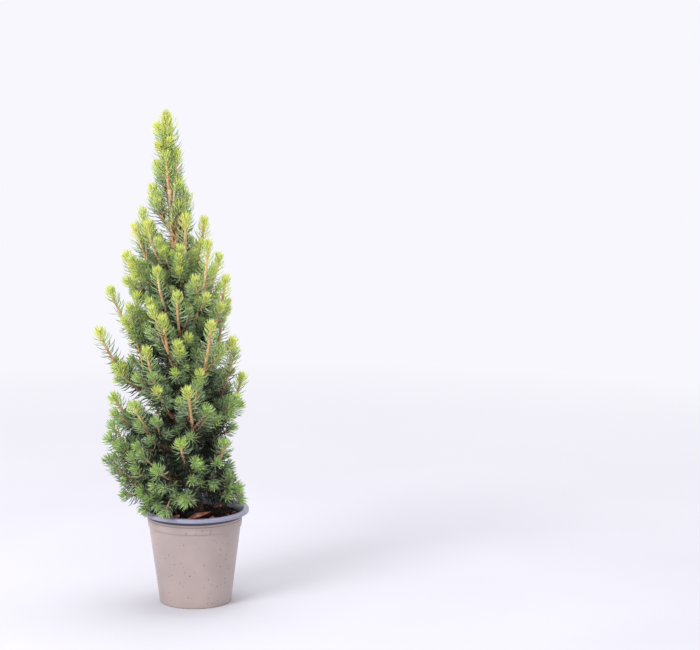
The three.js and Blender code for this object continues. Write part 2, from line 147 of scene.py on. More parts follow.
# Trunk
TRUNK_TOP_Z = 592
TRUNK_FOOT_X = 5.5
TRUNK_LEAN = -0.082
TRUNK_SWAY = 1.6
TRUNK_SWAY_LENGTH_X = 210
TRUNK_SWAY_LENGTH_Y = 300
TRUNK_FOOT_R = 5.2
TRUNK_TIP_R = 1.6
TRUNK_TAPER_POWER = 0.6
FLARE_OUT = 3.6
FLARE_HEIGHT = 9
FLARE_ROOTS = 3
FLARE_RIDGE = 0.25

# Plates and grain of the trunk's bark: how many go round it, how tall and how deep they are
TRUNK_BARK_STEP = 1.5
TRUNK_BARK_SIDES = 40
PLATES_ROUND = 9
PLATE_HEIGHT = 4.5
PLATE_DEPTH = 0.75
PLATE_MIDDLE = 0.6
GRAIN_ROUND = 20
GRAIN_HEIGHT = 2
GRAIN_DEPTH = 0.22
SEED_PLATES = 1
SEED_GRAIN = 2

# Crown
GAP = 0.3
LEADER_TIP_Z = 634
CROWN_SKEW = 0.17
CROWN_PROFILE = (
    (126, 66), (150, 82), (200, 92), (290, 88), (420, 72), (466, 58), (505, 38), (535, 24), (650, 14),
)

# Limbs
LIMB_OUT = 0.72
LIMB_ELBOW = 4
LIMB_LIFT = 0.24
LIMB_ARCH = 0.1
LIMB_STRAY = 7
LIMB_STEPS = 9
LENGTH_STEPS = 200
STRAIGHT = 0.02
STEEP = 0.8
TIP_BRUSH = 9
BOUGH_SHARE = 0.36

# Side twigs, as in the solids
STEM_R = 1.6
STEM_STEP = 0.001
TWIG_R = 1.1
TWIG_EVERY = 29
TWIG_TURN = 137.5
TWIG_ANGLE = 43
TWIG_FIRST = 0.04
TWIG_SPREAD = 0.42
TWIG_JITTER = 0.6
TWIG_SHARE = 0.5
TWIG_EXTRA = 8
TWIG_MAX = 48
TWIG_MIN = 14
TWIG_RISE = 0.35
TWIG_TURNS = 4
TWIG_TRIM = 0.22
TWIG_TRIMS = 3
TWIG_TESTS = np.array([0.4, 0.6, 0.8, 1])
SPACE_MARGIN = 1.4
TRUNK_MARGIN = 1.2
RIM_MARGIN = 1.8
DROOP_LIMIT = 12

# Seeds, as in the solids, and the ones that only the finer growth and the noise use
SEED_STRAY = 900
SEED_TURN = 500
SEEDS_PER_LIMB = 97
SEEDS_PER_SHOOT = 13
SEED_FINE = 4000
SEED_FINE_REACH = 300
SEED_FINE_TURN = 600
SEEDS_PER_FINE = (61, 1009, 17)
SEED_TRUNK_TWIG = 7300
SEED_LEADER_SIDE = 5
SEEDS_PER_NEEDLE = 8
SEED_SPRAY = 31
SEED_TRUNK_SHOWS = 77
SEEDS_PER_NOISE = 7919
NOISE_ROWS = 50000

# Limbs by place: bearing in degrees (0 is +X, -90 is the front), height of the foot on the trunk,
# reach from the trunk, height of the tip, 1 where a bare bough shows below the foliage, and how
# dense the foliage is where it is thinner than the rest
LIMBS = {
    "top_right": (-35, 506, 9, 600, 0),
    "top_front": (-105, 545, 13, 598, 0),
    "top_left": (-175, 494, 24, 553, 0),
    "top_front_right": (-62, 466, 16, 536, 0),
    "top_back_right": (35, 450, 19, 541, 0),
    "top_back": (110, 520, 15, 582, 0),
    "upper_left": (-172, 404, 57, 504, 0),
    "upper_left_front": (-147, 428, 44, 510, 0),
    "upper_front": (-70, 408, 27, 519, 0),
    "upper_right": (18, 416, 36, 509, 0),
    "upper_back": (102, 396, 40, 500, 0),
    "left_high": (172, 362, 75, 465, 1),
    "right_front_high": (-45, 346, 49, 487, 1),
    "right_high": (10, 372, 49, 463, 0),
    "front_left_high": (-127, 352, 52, 454, 0),
    "left_middle": (-176, 306, 97, 421, 0),
    "right_middle": (-17, 312, 58, 439, 1),
    "front_high": (-96, 330, 57, 424, 0),
    "front_left_middle": (-113, 280, 70, 395, 1),
    "back_left_high": (130, 316, 64, 428, 0),
    "back_right_high": (66, 330, 54, 442, 0),
    "right_front_middle": (-62, 250, 72, 387, 1),
    "left_stray": (-174, 240, 119, 369, 1, 0.4),
    "right_low": (-22, 214, 60, 359, 0),
    "front_left_low": (-133, 222, 81, 352, 1),
    "back_left_middle": (152, 250, 86, 352, 1),
    "back_middle": (102, 238, 80, 345, 0),
    "back_right_middle": (48, 262, 66, 378, 1),
    "left_low": (-168, 200, 108, 283, 0),
    "front_low": (-93, 200, 84, 304, 1),
    "left_front_low": (-143, 186, 98, 280, 0),
    "back_left_low": (128, 186, 92, 262, 0),
    "back_low": (82, 196, 86, 268, 1),
    "back_right_low": (28, 204, 72, 300, 0),
    "foot_left": (-168, 166, 119, 228, 1),
    "foot_right": (-55, 166, 69, 229, 0),
    "foot_front": (-100, 170, 89, 235, 0),
    "foot_front_left": (-122, 156, 96, 196, 0),
    "foot_right_level": (-30, 148, 68, 158, 0),
    "foot_front_level": (-100, 144, 90, 150, 0),
    "foot_left_level": (-148, 142, 90, 156, 0),
    "foot_back_left": (170, 150, 104, 190, 0),
    "foot_back": (122, 150, 88, 180, 0),
    "foot_back_right": (66, 150, 82, 184, 0),
}

# Long side shoots that the photograph shows, by the limb that carries them: where on it from 0 at
# the trunk to 1 at its tip, and the place of the shoot's own tip
PLACED_SHOOTS = {
    "foot_left_level": (
        (0.5, (-78, -45, 202)), (0.6, (-110, -30, 195)), (0.5, (-89, -35, 150)),
        (0.4, (-57, -55, 148)), (0.5, (-45, -63, 143)), (0.6, (-100, -30, 182)),
        (0.5, (-88, -35, 168)), (0.45, (-74, -45, 185)), (0.5, (-62, -50, 134)),
    ),
    "foot_front_left": ((0.45, (-36, -85, 170)), (0.35, (-35, -74, 136)), (0.4, (-65, -55, 207))),
    "foot_front_level": ((0.5, (-6, -72, 156)),),
    "foot_front": ((0.3, (2, -75, 179)),),
    "foot_right": ((0.4, (27, -60, 170)),),
    "foot_right_level": (
        (0.5, (46, -35, 175)), (0.3, (44, -40, 150)), (0.4, (60, -20, 141)), (0.3, (40, -8, 136)),
    ),
    "foot_left": ((0.55, (-95, -25, 211)), (0.5, (-105, -25, 240))),
    "foot_back": ((0.3, (8, 34, 150)), (0.4, (16, 52, 146))),
    "foot_back_right": (
        (0.3, (14, 22, 214)), (0.2, (14, 30, 148)), (0.3, (24, 20, 135)), (0.35, (52, 30, 140)),
        (0.4, (30, 50, 138)), (0.25, (38, 20, 168)),
    ),
    "front_low": ((0.35, (-1, -70, 234)), (0.6, (8, -60, 301))),
    "left_front_low": ((0.35, (-54, -55, 227)), (0.4, (-67, -50, 245))),
    "left_low": ((0.45, (-100, -25, 255)),),
    "back_right_low": ((0.3, (22, 18, 232)),),
    "right_low": ((0.25, (31, -55, 253)), (0.3, (60, -10, 264)), (0.55, (55, -30, 337))),
    "right_front_middle": ((0.35, (11, -65, 316)),),
    "front_left_middle": ((0.3, (-20, -70, 317)), (0.6, (-49, -60, 398))),
    "left_stray": ((0.4, (-98, -25, 315)), (0.3, (-80, -30, 395))),
    "left_middle": ((0.4, (-71, -35, 411)),),
    "upper_left": ((0.6, (-63, -8, 515)),),
    "top_front_right": ((0.4, (-10, -10, 542)), (0.35, (-22, -14, 545))),
    "top_left": ((0.3, (-41, -8, 538)),),
    "leader": ((0.02, (-40, -9, 601)), (0.04, (-28, -9, 607))),
}
PLACED_SAG = 0.1

# Finer twigs on the stems and on the side twigs, none near a tip
FINE_EVERY = 6.5
FINE_FIRST = 0.03
FINE_BARE = (66, 22)
FINE_ANGLE = 50
FINE_SHARE = 0.3
FINE_EXTRA = 8
FINE_MAX = 34
FINE_MIN = 8
FINE_TRIES = 6
FINE_MARGIN = -7.0
FINE_OUT_MOST = 0.78
FINE_REACH = (0.7, 1.15)
FINE_TRIM = 0.12
FINE_STEM_FROM = 0.6

# Shoots by order: stems, side twigs and finer twigs
SHOOT_FOOT_R = (2.2, 1.4, 0.9)
SHOOT_TIP_R = (1.3, 0.9, 0.55)
BOUGH_FOOT_R = 2.5
NEEDLES_FROM = 0.05
BOUGH_NEEDLES_FROM = 0.15
BARK_SIDES = (10, 7, 5)
BARK_STEPS = (1.8, 2.6, 4)
PEG_OUT = 0.12
PEG_ROUGH = 0.14

# Twigs straight on the trunk: from what height, up to what height and how far apart
TRUNK_TWIGS = (160, 440, 4.5)
TRUNK_TWIG_REACH = 0.66
TRUNK_TWIG_ANGLE = 55
TRUNK_TWIG_TRIM = 0.1
TRUNK_TWIG_GAP = 3.5

# Bark: how far behind a stem's tip old and brown bark end, how far out twigs turn tan, and above
# what height the bark is lighter, as painted light high on the plant
BARK_TURNS = (105, 55)
TAN_FROM = 0.75
UPPER_BARK_FROM = 440
BARK_LOOKS = {
    "bark_old": ((78, 50, 38), (128, 84, 60), (176, 124, 90), 190),
    "bark_brown": ((134, 94, 68), (190, 142, 102), (220, 176, 136), 210),
    "bark_tan": ((162, 114, 74), (214, 164, 114), (238, 198, 150), 260),
    "bark_painted_light": ((186, 142, 100), (228, 186, 138), (246, 216, 176), 260),
}
BARK_PIECES = {
    "boughs_bark": "bark_old", "stems_bark": "bark_brown", "shoots_bark": "bark_tan",
    "twigs_brown": "bark_brown", "twigs_tan": "bark_tan", "upper_bark_painted_light": "bark_painted_light",
}
# Trunk bark: old bark at the foot, darkened as painted shade, and young bark at the top, lightened as
# painted light
TRUNK_FOOT_OLD_AND_SHADED = ((46, 33, 28), (74, 54, 44), (108, 82, 66))
TRUNK_TOP_YOUNG_AND_LIT = ((198, 152, 114), (244, 204, 162), (255, 234, 204))
TRUNK_GRAIN = 170
TRUNK_LIGHTENS = (0.2, 0.46)

# Limbs near the leader stay greener to their tips than the rest, and some are thinner: how much
# older their needles look, and the share of needles that they have
GREEN_LIMBS = {
    "top_left": (0.9, 0.75), "top_front_right": (0.9, 0.75), "top_back_right": (0.9, 0.75),
    "top_back": (0.9, 0.75), "top_front": (0.3, 1), "top_right": (0.3, 1),
}

# The leader carries a slim brush of young needles and longer ones that stand out past it
LEADER_FOOT_Z = 430
LEADER_INSET = 1
LEADER_BRUSH = {
    "per_mm": ((0, 22), (10, 18), (24, 12), (60, 11), (78, 4), (92, 0)),
    "lean": 0.48, "growth": 1.2, "age": -0.9, "width": 0.9, "tuft": 90, "face_kept": 1,
}
LEADER_SIDE = {
    "per_mm": ((0, 0.3), (10, 1.6), (24, 2.8), (84, 2.6), (112, 1.6), (140, 1), (300, 0.6)),
    "growth": 1.42, "width": 1, "tuft": 0, "has_bark": False, "face_kept": 1,
}

# The front of the upper trunk shows: few needles lie before it between these heights
TRUNK_SHOWS = (474, 560)
TRUNK_SHOWS_WIDE = 7
TRUNK_SHOWS_KEPT = 0.15

# The front of the soil shows: no needle is right of this, before this and below this
SOIL_SHOWS = (-5, -28, 141)

# Limbs before the upper trunk keep their lower share bare, so that the trunk shows
BARE_BELOW = {"top_front": 0.35, "top_front_right": 0.5, "top_right": 0.3}

# Needles
NEEDLE_LENGTH = 16.2
NEEDLE_WIDTH = ((320, 1.35), (480, 1.15))
NEEDLE_SINK = 0.35
NEEDLE_TURN = 2.39996
NEEDLE_SHOULDER = 0.66
NEEDLE_BEND = 0.1
NEEDLE_FOOT_WIDE = 0.4
NEEDLE_WIDEST = 0.5
NEEDLE_TURN_STRAY = 0.5
NEEDLE_LEAN_STRAY = 16
NEEDLE_LENGTHS = (0.8, 1.1)
NEEDLE_REACHES = 60
NEEDLES_PER_MM = ((0, 4.2), (9, 3.2), (16, 2), (32, 1.5), (60, 1.3), (200, 1.04))
NEEDLES_BY_HEIGHT = ((320, 0.7), (440, 0.78), (560, 0.85))
NEEDLE_LEAN = ((0, 20), (5, 30), (14, 42), (28, 54), (60, 62))
LEAN_BY_HEIGHT = ((140, 1.36), (260, 1.24), (380, 1.06), (460, 0.94), (540, 0.92), (640, 0.8))
NEEDLE_GROWTH = ((0, 0.62), (5, 0.74), (14, 0.92), (26, 1))
GROWTH_BY_HEIGHT = ((140, 1.2), (300, 1.06), (430, 1), (510, 1.14), (640, 1.2))
MOST_GROWTH = 1.06
TUFT_NEEDLES = (25, 18, 9)
TUFT_DEPTH = 3
TUFT_LEAN = 52
SPRAY_LENGTH = 13

# Few needles stand on the outer face of a shoot from this far behind its tip, so its bark shows
FACE_FROM = 13
FACE_TURN = 0.66
FACE_KEPT = ((400, 0.2), (520, 0.7))
FINE_FACE_TURN = 0.5

# Most faces in one piece, and the faces and points of a needle: its foot, its shoulder and its tip
MOST_TRIANGLES = 190000
NEEDLE_POINTS = 7
NEEDLE_FACES = np.array([
    [0, 2, 1], [0, 1, 4], [0, 4, 3], [1, 2, 5], [1, 5, 4], [2, 0, 3], [2, 3, 5], [3, 4, 6],
    [4, 5, 6], [5, 3, 6],
])

# Needle looks from the tips inward, as plain colours dealt out by spray: the colour, how dark and
# how light it gets, how much light passes into the needles and how much they shine
NEEDLE_LOOKS = {
    "tip": ((214, 221, 110), 0.94, 1.04, 0.6, 0.5),
    "fresh": ((188, 209, 108), 0.9, 1.07, 0.6, 0.5),
    "mid": ((158, 184, 122), 0.8, 1.16, 0.25, 0.85),
    # The deep look is partly older needles and partly painted shade; the inner look is painted shade
    "deep": ((129, 151, 113), 0.72, 1.24, 0.15, 0.9),
    "inner": ((45, 56, 42), 0.7, 1.24, 0, 0.3),
    "young": ((154, 192, 92), 0.9, 1.07, 0.5, 0.6),
}
UPPER_LOOKS = 2
NEEDLE_ROUGHNESS = 0.36
SHEEN = 0.25
SHEEN_ROUGHNESS = 0.4
SHEEN_TINT = (228, 234, 222)
SUBSURFACE_DEPTH = 2.4
SUBSURFACE_RADIUS = (1, 1, 0.5)

# A spray's score picks its look. It grows with distance from the tip, up to a most that falls with
# height, and also low on the plant, on side twigs and deep in the crown. The rise low on the plant is
# partly older growth and partly painted shade; the rise deep in the crown is painted shade
SCORE_FOOT_Z = 130
SCORE_HEIGHT = 500
TUFT_SCORE = -0.3
TIP_SCORE = 0.2
SCORE_LENGTH = 14
SPRAY_PLACE = 0.4
MOST_SCORE = 3
MOST_SCORE_FALLS = 0.6
LOW_AGE_AND_SHADE_SCORE = 2.4
LOW_POWER = 2.3
LUCK_SCORE = 0.7
ORDER_SCORES = (0, 0.6, 1.3)
ORDER_AT_FOOT = 1.1
ORDER_FALLS = 0.6
DEPTH_SHADE_FROM = 0.22
DEPTH_SHADE_SCORES = ((130, 4.6), (300, 3.4), (380, 2.9), (480, 1.5), (630, 0))

# Tufts low on the plant have young green hearts
YOUNG_BELOW = 240
YOUNG_LUCK = 90
YOUNG_MOST_SCORE = 3.2

# Lights in metres: place, size and power
LIGHTS = {
    "key": ((-1.7, -2.0, 2.4), 1.5, 80),
    "fill": ((0.4, -3.2, 0.9), 1.6, 10),
    "top": ((0.1, 0.4, 2.8), 1.8, 42),
}
LIGHT_TARGET = (0, 0, 0.35)
WORLD_COLOUR = (0.97, 0.965, 1.0, 1.0)
WORLD_STRENGTH = 0.86


# One value from 0 to 1 for each pair of whole numbers, the same as in the solids
def chance(first, second):
    mixed = ((first + 1) * 374761393 ^ (second + 1) * 668265263) & 0xFFFFFFFF
    mixed = ((mixed ^ (mixed >> 13)) * 1274126177) & 0xFFFFFFFF
    return (mixed ^ (mixed >> 16)) / 4294967296


def mix(start, end, share):
    return start + (end - start) * share


def unit(vectors):
    return vectors / np.maximum(np.linalg.norm(vectors, axis=-1, keepdims=True), 1e-9)


def profile_at(profile, value):
    places, sizes = zip(*profile)
    return np.interp(value, places, sizes)


# Smooth noise from -1 to 1 over a plane, wrapped along its first axis where a count is given
def noise(across, along, seed, wrap=1 << 20):
    column, row = np.floor(across).astype(np.int64), np.floor(along).astype(np.int64)
    right, up = across - column, along - row
    right, up = right * right * (3 - 2 * right), up * up * (3 - 2 * up)

    def corner(i, j):
        return chance((column + i) % wrap + SEEDS_PER_NOISE * seed, row + j + NOISE_ROWS)

    low = mix(corner(0, 0), corner(1, 0), right)
    high = mix(corner(0, 1), corner(1, 1), right)
    return 2 * mix(low, high, up) - 1


# Curves with three control points
def bezier(control, share):
    t = np.asarray(share, float)[..., None]
    return (1 - t) ** 2 * control[0] + 2 * t * (1 - t) * control[1] + t * t * control[2]


def heading(control, share):
    t = np.asarray(share, float)[..., None]
    return unit((1 - t) * (control[1] - control[0]) + t * (control[2] - control[1]))


def curve_length(control):
    points = bezier(control, np.linspace(0, 1, LENGTH_STEPS + 1))
    return float(np.linalg.norm(np.diff(points, axis=0), axis=1).sum())


# The direction square to the plane that a curve bends in
def bend_normal(control):
    first, last = heading(control, 0), heading(control, 1)
    normal = np.cross(first, last)
    if np.linalg.norm(normal) < STRAIGHT:
        normal = np.cross(first, UP if abs(first[2]) < STEEP else np.array([1.0, 0, 0]))
    return unit(normal)


def turned(along, normal, angle):
    angle = np.asarray(angle, float)[..., None]
    return unit(np.cross(along, normal) * np.sin(angle) + normal * np.cos(angle))


# Trunk line and thickness
def trunk_point(height):
    height = np.asarray(height, float)
    above = height - SOIL_TOP
    x = TRUNK_FOOT_X + TRUNK_LEAN * above + TRUNK_SWAY * np.sin(2 * np.pi * above / TRUNK_SWAY_LENGTH_X)
    y = TRUNK_SWAY * np.sin(2 * np.pi * above / TRUNK_SWAY_LENGTH_Y)
    return np.stack([x, y, height], axis=-1)


def trunk_radius(height):
    share = np.clip((height - SOIL_TOP) / (TRUNK_TOP_Z - SOIL_TOP), 0, 1)
    return TRUNK_TIP_R + (TRUNK_FOOT_R - TRUNK_TIP_R) * (1 - share) ** TRUNK_TAPER_POWER


# A limb's line: out from the trunk, then up to its tip
def limb_control(index, sizes):
    bearing, foot_z, reach, tip_z = sizes[:4]

    def outward(degrees, length):
        angle = math.radians(degrees)
        return length * np.array([math.cos(angle), math.sin(angle), 0])

    foot = trunk_point(foot_z)
    stray = LIMB_STRAY * (2 * chance(index, SEED_STRAY) - 1)
    middle = foot + outward(bearing + stray, reach * LIMB_OUT + LIMB_ELBOW)
    middle[2] += (tip_z - foot_z) * LIMB_LIFT + reach * LIMB_ARCH
    tip = foot + outward(bearing, reach)
    tip[2] = tip_z
    tip -= TIP_BRUSH * unit(tip - middle)
    return np.array([foot, middle, tip])


class Limb:
    def __init__(self, name, index, control, has_bough, density):
        self.name = name
        self.index = index
        self.control = control
        self.has_bough = has_bough
        self.density = density
        self.length = curve_length(control)


limbs = [
    Limb(name, index, limb_control(index, sizes), sizes[4] == 1, sizes[5] if len(sizes) > 5 else 1)
    for index, (name, sizes) in enumerate(LIMBS.items())
]
leader_tip = trunk_point(TRUNK_TOP_Z)
leader_tip[2] = LEADER_TIP_Z
leader_middle = trunk_point((TRUNK_TOP_Z + LEADER_TIP_Z) / 2)
leader_control = np.array([trunk_point(TRUNK_TOP_Z + GAP), leader_middle, leader_tip])
limbs.append(Limb("leader", len(limbs), leader_control, False, 1))

limb_lines = np.array([bezier(limb.control, np.linspace(0, 1, LIMB_STEPS + 1)) for limb in limbs])
line_starts = limb_lines[:, :-1]
line_steps = limb_lines[:, 1:] - line_starts


# Where points lie from the middle of the trunk at their height, or from its tip above that
def from_trunk(points):
    return points - trunk_point(np.minimum(points[:, 2], TRUNK_TOP_Z))


# How far each point is from each limb's line
def limb_distances(points):
    across = points[:, None, None, :] - line_starts[None]
    share = (across * line_steps).sum(-1) / (line_steps * line_steps).sum(-1)
    nearest = across - np.clip(share, 0, 1)[..., None] * line_steps
    return np.sqrt((nearest * nearest).sum(-1)).min(-1)


# Whether points lie clear of the pot and its soil
def above_pot(points):
    radius = np.hypot(points[:, 0], points[:, 1])
    over_rim = (radius < POT_RIM_R + RIM_MARGIN) & (points[:, 2] < POT_HEIGHT + RIM_MARGIN)
    return ~over_rim & (points[:, 2] >= POT_HEIGHT - DROOP_LIMIT)


# Whether points lie in the space of one limb, clear of the trunk, the pot and the other limbs
def in_space(points, limb, margin):
    fits = above_pot(points)
    if limb.name != "leader":
        away = np.linalg.norm(from_trunk(points), axis=1)
        fits &= away >= trunk_radius(points[:, 2]) + TRUNK_MARGIN
    distances = limb_distances(points)
    own = distances[:, limb.index].copy()
    distances[:, limb.index] = np.inf
    return fits & (distances.min(1) > own + margin)


# How far out points lie, as a share of the crown's outline, which bulges to the left
def crown_share(points):
    across = from_trunk(points)
    radius = np.hypot(across[:, 0], across[:, 1])
    skew = 1 - CROWN_SKEW * across[:, 0] / np.maximum(radius, 1)
    return radius / (profile_at(CROWN_PROFILE, points[:, 2]) * skew)


# How far directions turn away from the trunk at points, from 0 for along or across to 1 for straight out
def outward_share(points, directions):
    across = from_trunk(points)
    across[:, 2] = 0
    return (unit(across) * directions).sum(1)


# A twig branches at an angle and curves up to run with what carries it
def twig_control(parent, start_share, turn, length, angle):
    start = bezier(parent, start_share)
    along = heading(parent, start_share)
    outward = turned(along, bend_normal(parent), turn)
    first = along * math.cos(math.radians(angle)) + outward * math.sin(math.radians(angle))
    second = unit(first + along + TWIG_RISE * UP)
    middle = start + first * length / 2
    return np.array([start, middle, middle + second * length / 2])


def twig_fits(control, limb, margin):
    points = bezier(control, TWIG_TESTS)
    return bool((in_space(points, limb, margin) & (crown_share(points) < 1)).all())


def side_twigs(limb, from_share):
    stem_length = limb.length * (1 - from_share)
    count = max(1, math.floor(stem_length / TWIG_EVERY + 0.5))
    twigs = []
    for j in range(count):
        jitter = TWIG_JITTER * (chance(limb.index, j) - 0.5)
        along = TWIG_FIRST + TWIG_SPREAD * (j + 0.5 + jitter) / count
        wished = min(TWIG_MAX, TWIG_SHARE * stem_length * (1 - along) + TWIG_EXTRA)
        for attempt in range(TWIG_TURNS * TWIG_TRIMS):
            turn = math.radians(TWIG_TURN * (j + attempt) + 360 * chance(limb.index, SEED_TURN))
            length = limb.density * wished * (1 - TWIG_TRIM * (attempt // TWIG_TURNS))
            control = twig_control(limb.control, mix(from_share, 1, along), turn, length, TWIG_ANGLE)
            if length >= TWIG_MIN and twig_fits(control, limb, 2 * TWIG_R + SPACE_MARGIN):
                twigs.append(control)
                break
    return twigs


# Finer twigs fill the inner part of a stem or side twig, between the twigs that the solids have
def fine_twigs(limb, parent, from_share, order, seed):
    length = curve_length(parent) * (1 - from_share)
    last = 1 - FINE_BARE[order] / length
    count = int(limb.density * (last - FINE_FIRST) * length / FINE_EVERY)
    twigs = []
    for j in range(count):
        along = mix(FINE_FIRST, last, (j + chance(seed, j)) / count)
        reach = min(FINE_MAX, FINE_SHARE * length * (1 - along) + FINE_EXTRA)
        reach *= mix(*FINE_REACH, chance(seed, j + SEED_FINE_REACH))
        for attempt in range(FINE_TRIES):
            turn = math.radians(TWIG_TURN * (j + attempt) + 360 * chance(seed, SEED_FINE_TURN))
            size = max(FINE_MIN, reach * (1 - FINE_TRIM * attempt))
            control = twig_control(parent, mix(from_share, 1, along), turn, size, FINE_ANGLE)
            inside = crown_share(control[2:])[0] < FINE_OUT_MOST
            beside = outward_share(control[:1], unit(control[1:2] - control[:1]))[0] < FINE_FACE_TURN
            if inside and beside and twig_fits(control, limb, FINE_MARGIN):
                twigs.append(control)
                break
    return twigs


# Where a stem leaves the trunk, as in the solids
def stem_start(limb):
    if limb.name == "leader":
        return 0
    if limb.has_bough:
        return BOUGH_SHARE + GAP / limb.length
    share = np.arange(0, 1, STEM_STEP)
    points = bezier(limb.control, share)
    across = points - trunk_point(points[:, 2])
    slope = (heading(limb.control, share) * unit(across)).sum(1)
    reach = STEM_R * np.sqrt(1 - slope * slope)
    clear = np.linalg.norm(across, axis=1) > trunk_radius(points[:, 2]) + reach + GAP
    return float(share[np.argmax(clear)])


# A stem, side twig or finer twig, which all carry bark and needles
class Shoot:
    def __init__(self, control, order, seed, needles_from, foot_r=None, **looks):
        tip_z = control[2][2]
        self.control = control
        self.length = curve_length(control)
        self.order = order
        self.seed = seed
        self.needles_from = needles_from
        self.foot_r = SHOOT_FOOT_R[order] if foot_r is None else foot_r
        self.tip_r = SHOOT_TIP_R[order]
        self.has_bark = True
        self.per_mm = NEEDLES_PER_MM
        self.thin = self.growth = self.lean = 1
        self.tuft = round(TUFT_NEEDLES[order] * profile_at(NEEDLES_BY_HEIGHT, tip_z))
        self.width = profile_at(NEEDLE_WIDTH, tip_z)
        self.age = 0
        self.face_kept = profile_at(FACE_KEPT, tip_z)
        for name, value in looks.items():
            setattr(self, name, value)


# The leader runs on from the trunk in one piece, inside it at first
def leader_shoots(seed):
    middle = trunk_point((LEADER_FOOT_Z + leader_tip[2]) / 2)
    control = np.array([trunk_point(LEADER_FOOT_Z), middle, leader_tip])
    foot_r = trunk_radius(LEADER_FOOT_Z) - LEADER_INSET
    brush = Shoot(control, 0, seed, 0, foot_r, **LEADER_BRUSH)
    side = Shoot(control, 0, seed + SEED_LEADER_SIDE, 0, foot_r, **LEADER_SIDE)
    return [brush, side]


# Short twigs stand straight on the trunk where no limb is near, deep in the crown
def trunk_twigs():
    low, high, every = TRUNK_TWIGS
    line = np.array([trunk_point(low), trunk_point((low + high) / 2), trunk_point(high)])
    twigs = []
    for j in range(int((high - low) / every)):
        share = (j + chance(SEED_TRUNK_TWIG, j)) * every / (high - low)
        reach = TRUNK_TWIG_REACH * profile_at(CROWN_PROFILE, mix(low, high, share))
        for attempt in range(FINE_TRIES):
            turn = math.radians(TWIG_TURN * (j + attempt))
            length = reach * (1 - TRUNK_TWIG_TRIM * attempt)
            control = twig_control(line, share, turn, length, TRUNK_TWIG_ANGLE)
            if limb_distances(bezier(control, TWIG_TESTS)).min() > TRUNK_TWIG_GAP:
                twigs.append(control)
                break
    return twigs


# A limb's long side shoots at their places
def placed_shoots(limb):
    controls = []
    for share, tip in PLACED_SHOOTS.get(limb.name, ()):
        start = bezier(limb.control, share)
        middle = (start + tip) / 2 - PLACED_SAG * np.linalg.norm(tip - start) * UP
        controls.append(np.array([start, middle, tip]))
    return controls


def grow():
    shoots = []
    for j, control in enumerate(trunk_twigs()):
        shoots.append(Shoot(control, 1, SEED_TRUNK_TWIG + SEEDS_PER_SHOOT * j, NEEDLES_FROM))
    for limb in limbs:
        from_share = stem_start(limb)
        seed = SEEDS_PER_LIMB * limb.index
        if limb.name == "leader":
            shoots += leader_shoots(seed)
        else:
            foot_r = BOUGH_FOOT_R if limb.has_bough else SHOOT_FOOT_R[0]
            needles_from = BOUGH_NEEDLES_FROM if limb.has_bough else from_share
            needles_from = BARE_BELOW.get(limb.name, needles_from)
            shoots.append(Shoot(limb.control, 0, seed, needles_from, foot_r))
        first = len(shoots) - 1
        parents = [(limb.control, from_share * FINE_STEM_FROM, 0)]
        for j, control in enumerate(placed_shoots(limb) + side_twigs(limb, from_share)):
            shoots.append(Shoot(control, 1, seed + SEEDS_PER_SHOOT * (j + 1), NEEDLES_FROM))
            parents.append((control, 0, 1))
        per_limb, per_parent, per_twig = SEEDS_PER_FINE
        for j, (parent, start, order) in enumerate(parents):
            fine_seed = SEED_FINE + per_limb * limb.index + per_parent * j
            for k, control in enumerate(fine_twigs(limb, parent, start, order, fine_seed)):
                shoots.append(Shoot(control, 2, fine_seed + per_twig * k, NEEDLES_FROM))
        if limb.name in GREEN_LIMBS:
            for shoot in shoots[first:]:
                shoot.age, shoot.thin = GREEN_LIMBS[limb.name]
    return [shoot for shoot in shoots if not before_soil(shoot.control[2:])[0]]


# Needles as arrays: where they stand, how they point, the shoot's own direction there, their
# length, how far behind the tip they stand, and which of them are in the tuft at the tip
def stand_needles(shoot):
    reach = np.linspace(0, shoot.length * (1 - shoot.needles_from), NEEDLE_REACHES)
    per_mm = profile_at(shoot.per_mm, reach[1:]) * profile_at(NEEDLES_BY_HEIGHT, shoot.control[2][2])
    grown = np.concatenate([[0], np.cumsum(np.diff(reach) * (per_mm * shoot.thin))])
    count = int(grown[-1])
    number = np.arange(count + shoot.tuft)
    in_tuft = number >= count
    draws = [chance(shoot.seed * SEEDS_PER_NEEDLE + k, number) for k in range(5)]
    to_tip = np.interp(number + draws[0], grown, reach)
    to_tip = np.where(in_tuft, draws[0] * TUFT_DEPTH, to_tip)
    share = 1 - to_tip / shoot.length
    centre, along = bezier(shoot.control, share), heading(shoot.control, share)
    angle = NEEDLE_TURN * number + NEEDLE_TURN_STRAY * draws[1]
    outward = turned(along, bend_normal(shoot.control), angle)
    lean = profile_at(NEEDLE_LEAN, to_tip) + NEEDLE_LEAN_STRAY * (draws[2] - 0.5)
    lean = np.where(in_tuft, TUFT_LEAN * draws[2], lean) * shoot.lean
    lean = np.radians(lean * profile_at(LEAN_BY_HEIGHT, centre[:, 2]))[:, None]
    pointing = unit(along * np.cos(lean) + outward * np.sin(lean))
    growth = profile_at(NEEDLE_GROWTH, to_tip) * profile_at(GROWTH_BY_HEIGHT, centre[:, 2])
    growth = np.minimum(MOST_GROWTH, growth)
    length = shoot.growth * NEEDLE_LENGTH * mix(*NEEDLE_LENGTHS, draws[3]) * growth
    radius = mix(shoot.foot_r, shoot.tip_r, share)[:, None]
    base = centre + outward * np.maximum(radius - NEEDLE_SINK, 0)
    on_face = (to_tip > FACE_FROM) & (outward_share(centre, outward) > FACE_TURN)
    kept = ~on_face | (draws[4] < shoot.face_kept)
    return [values[kept] for values in (base, pointing, along, length, to_tip, in_tuft)]


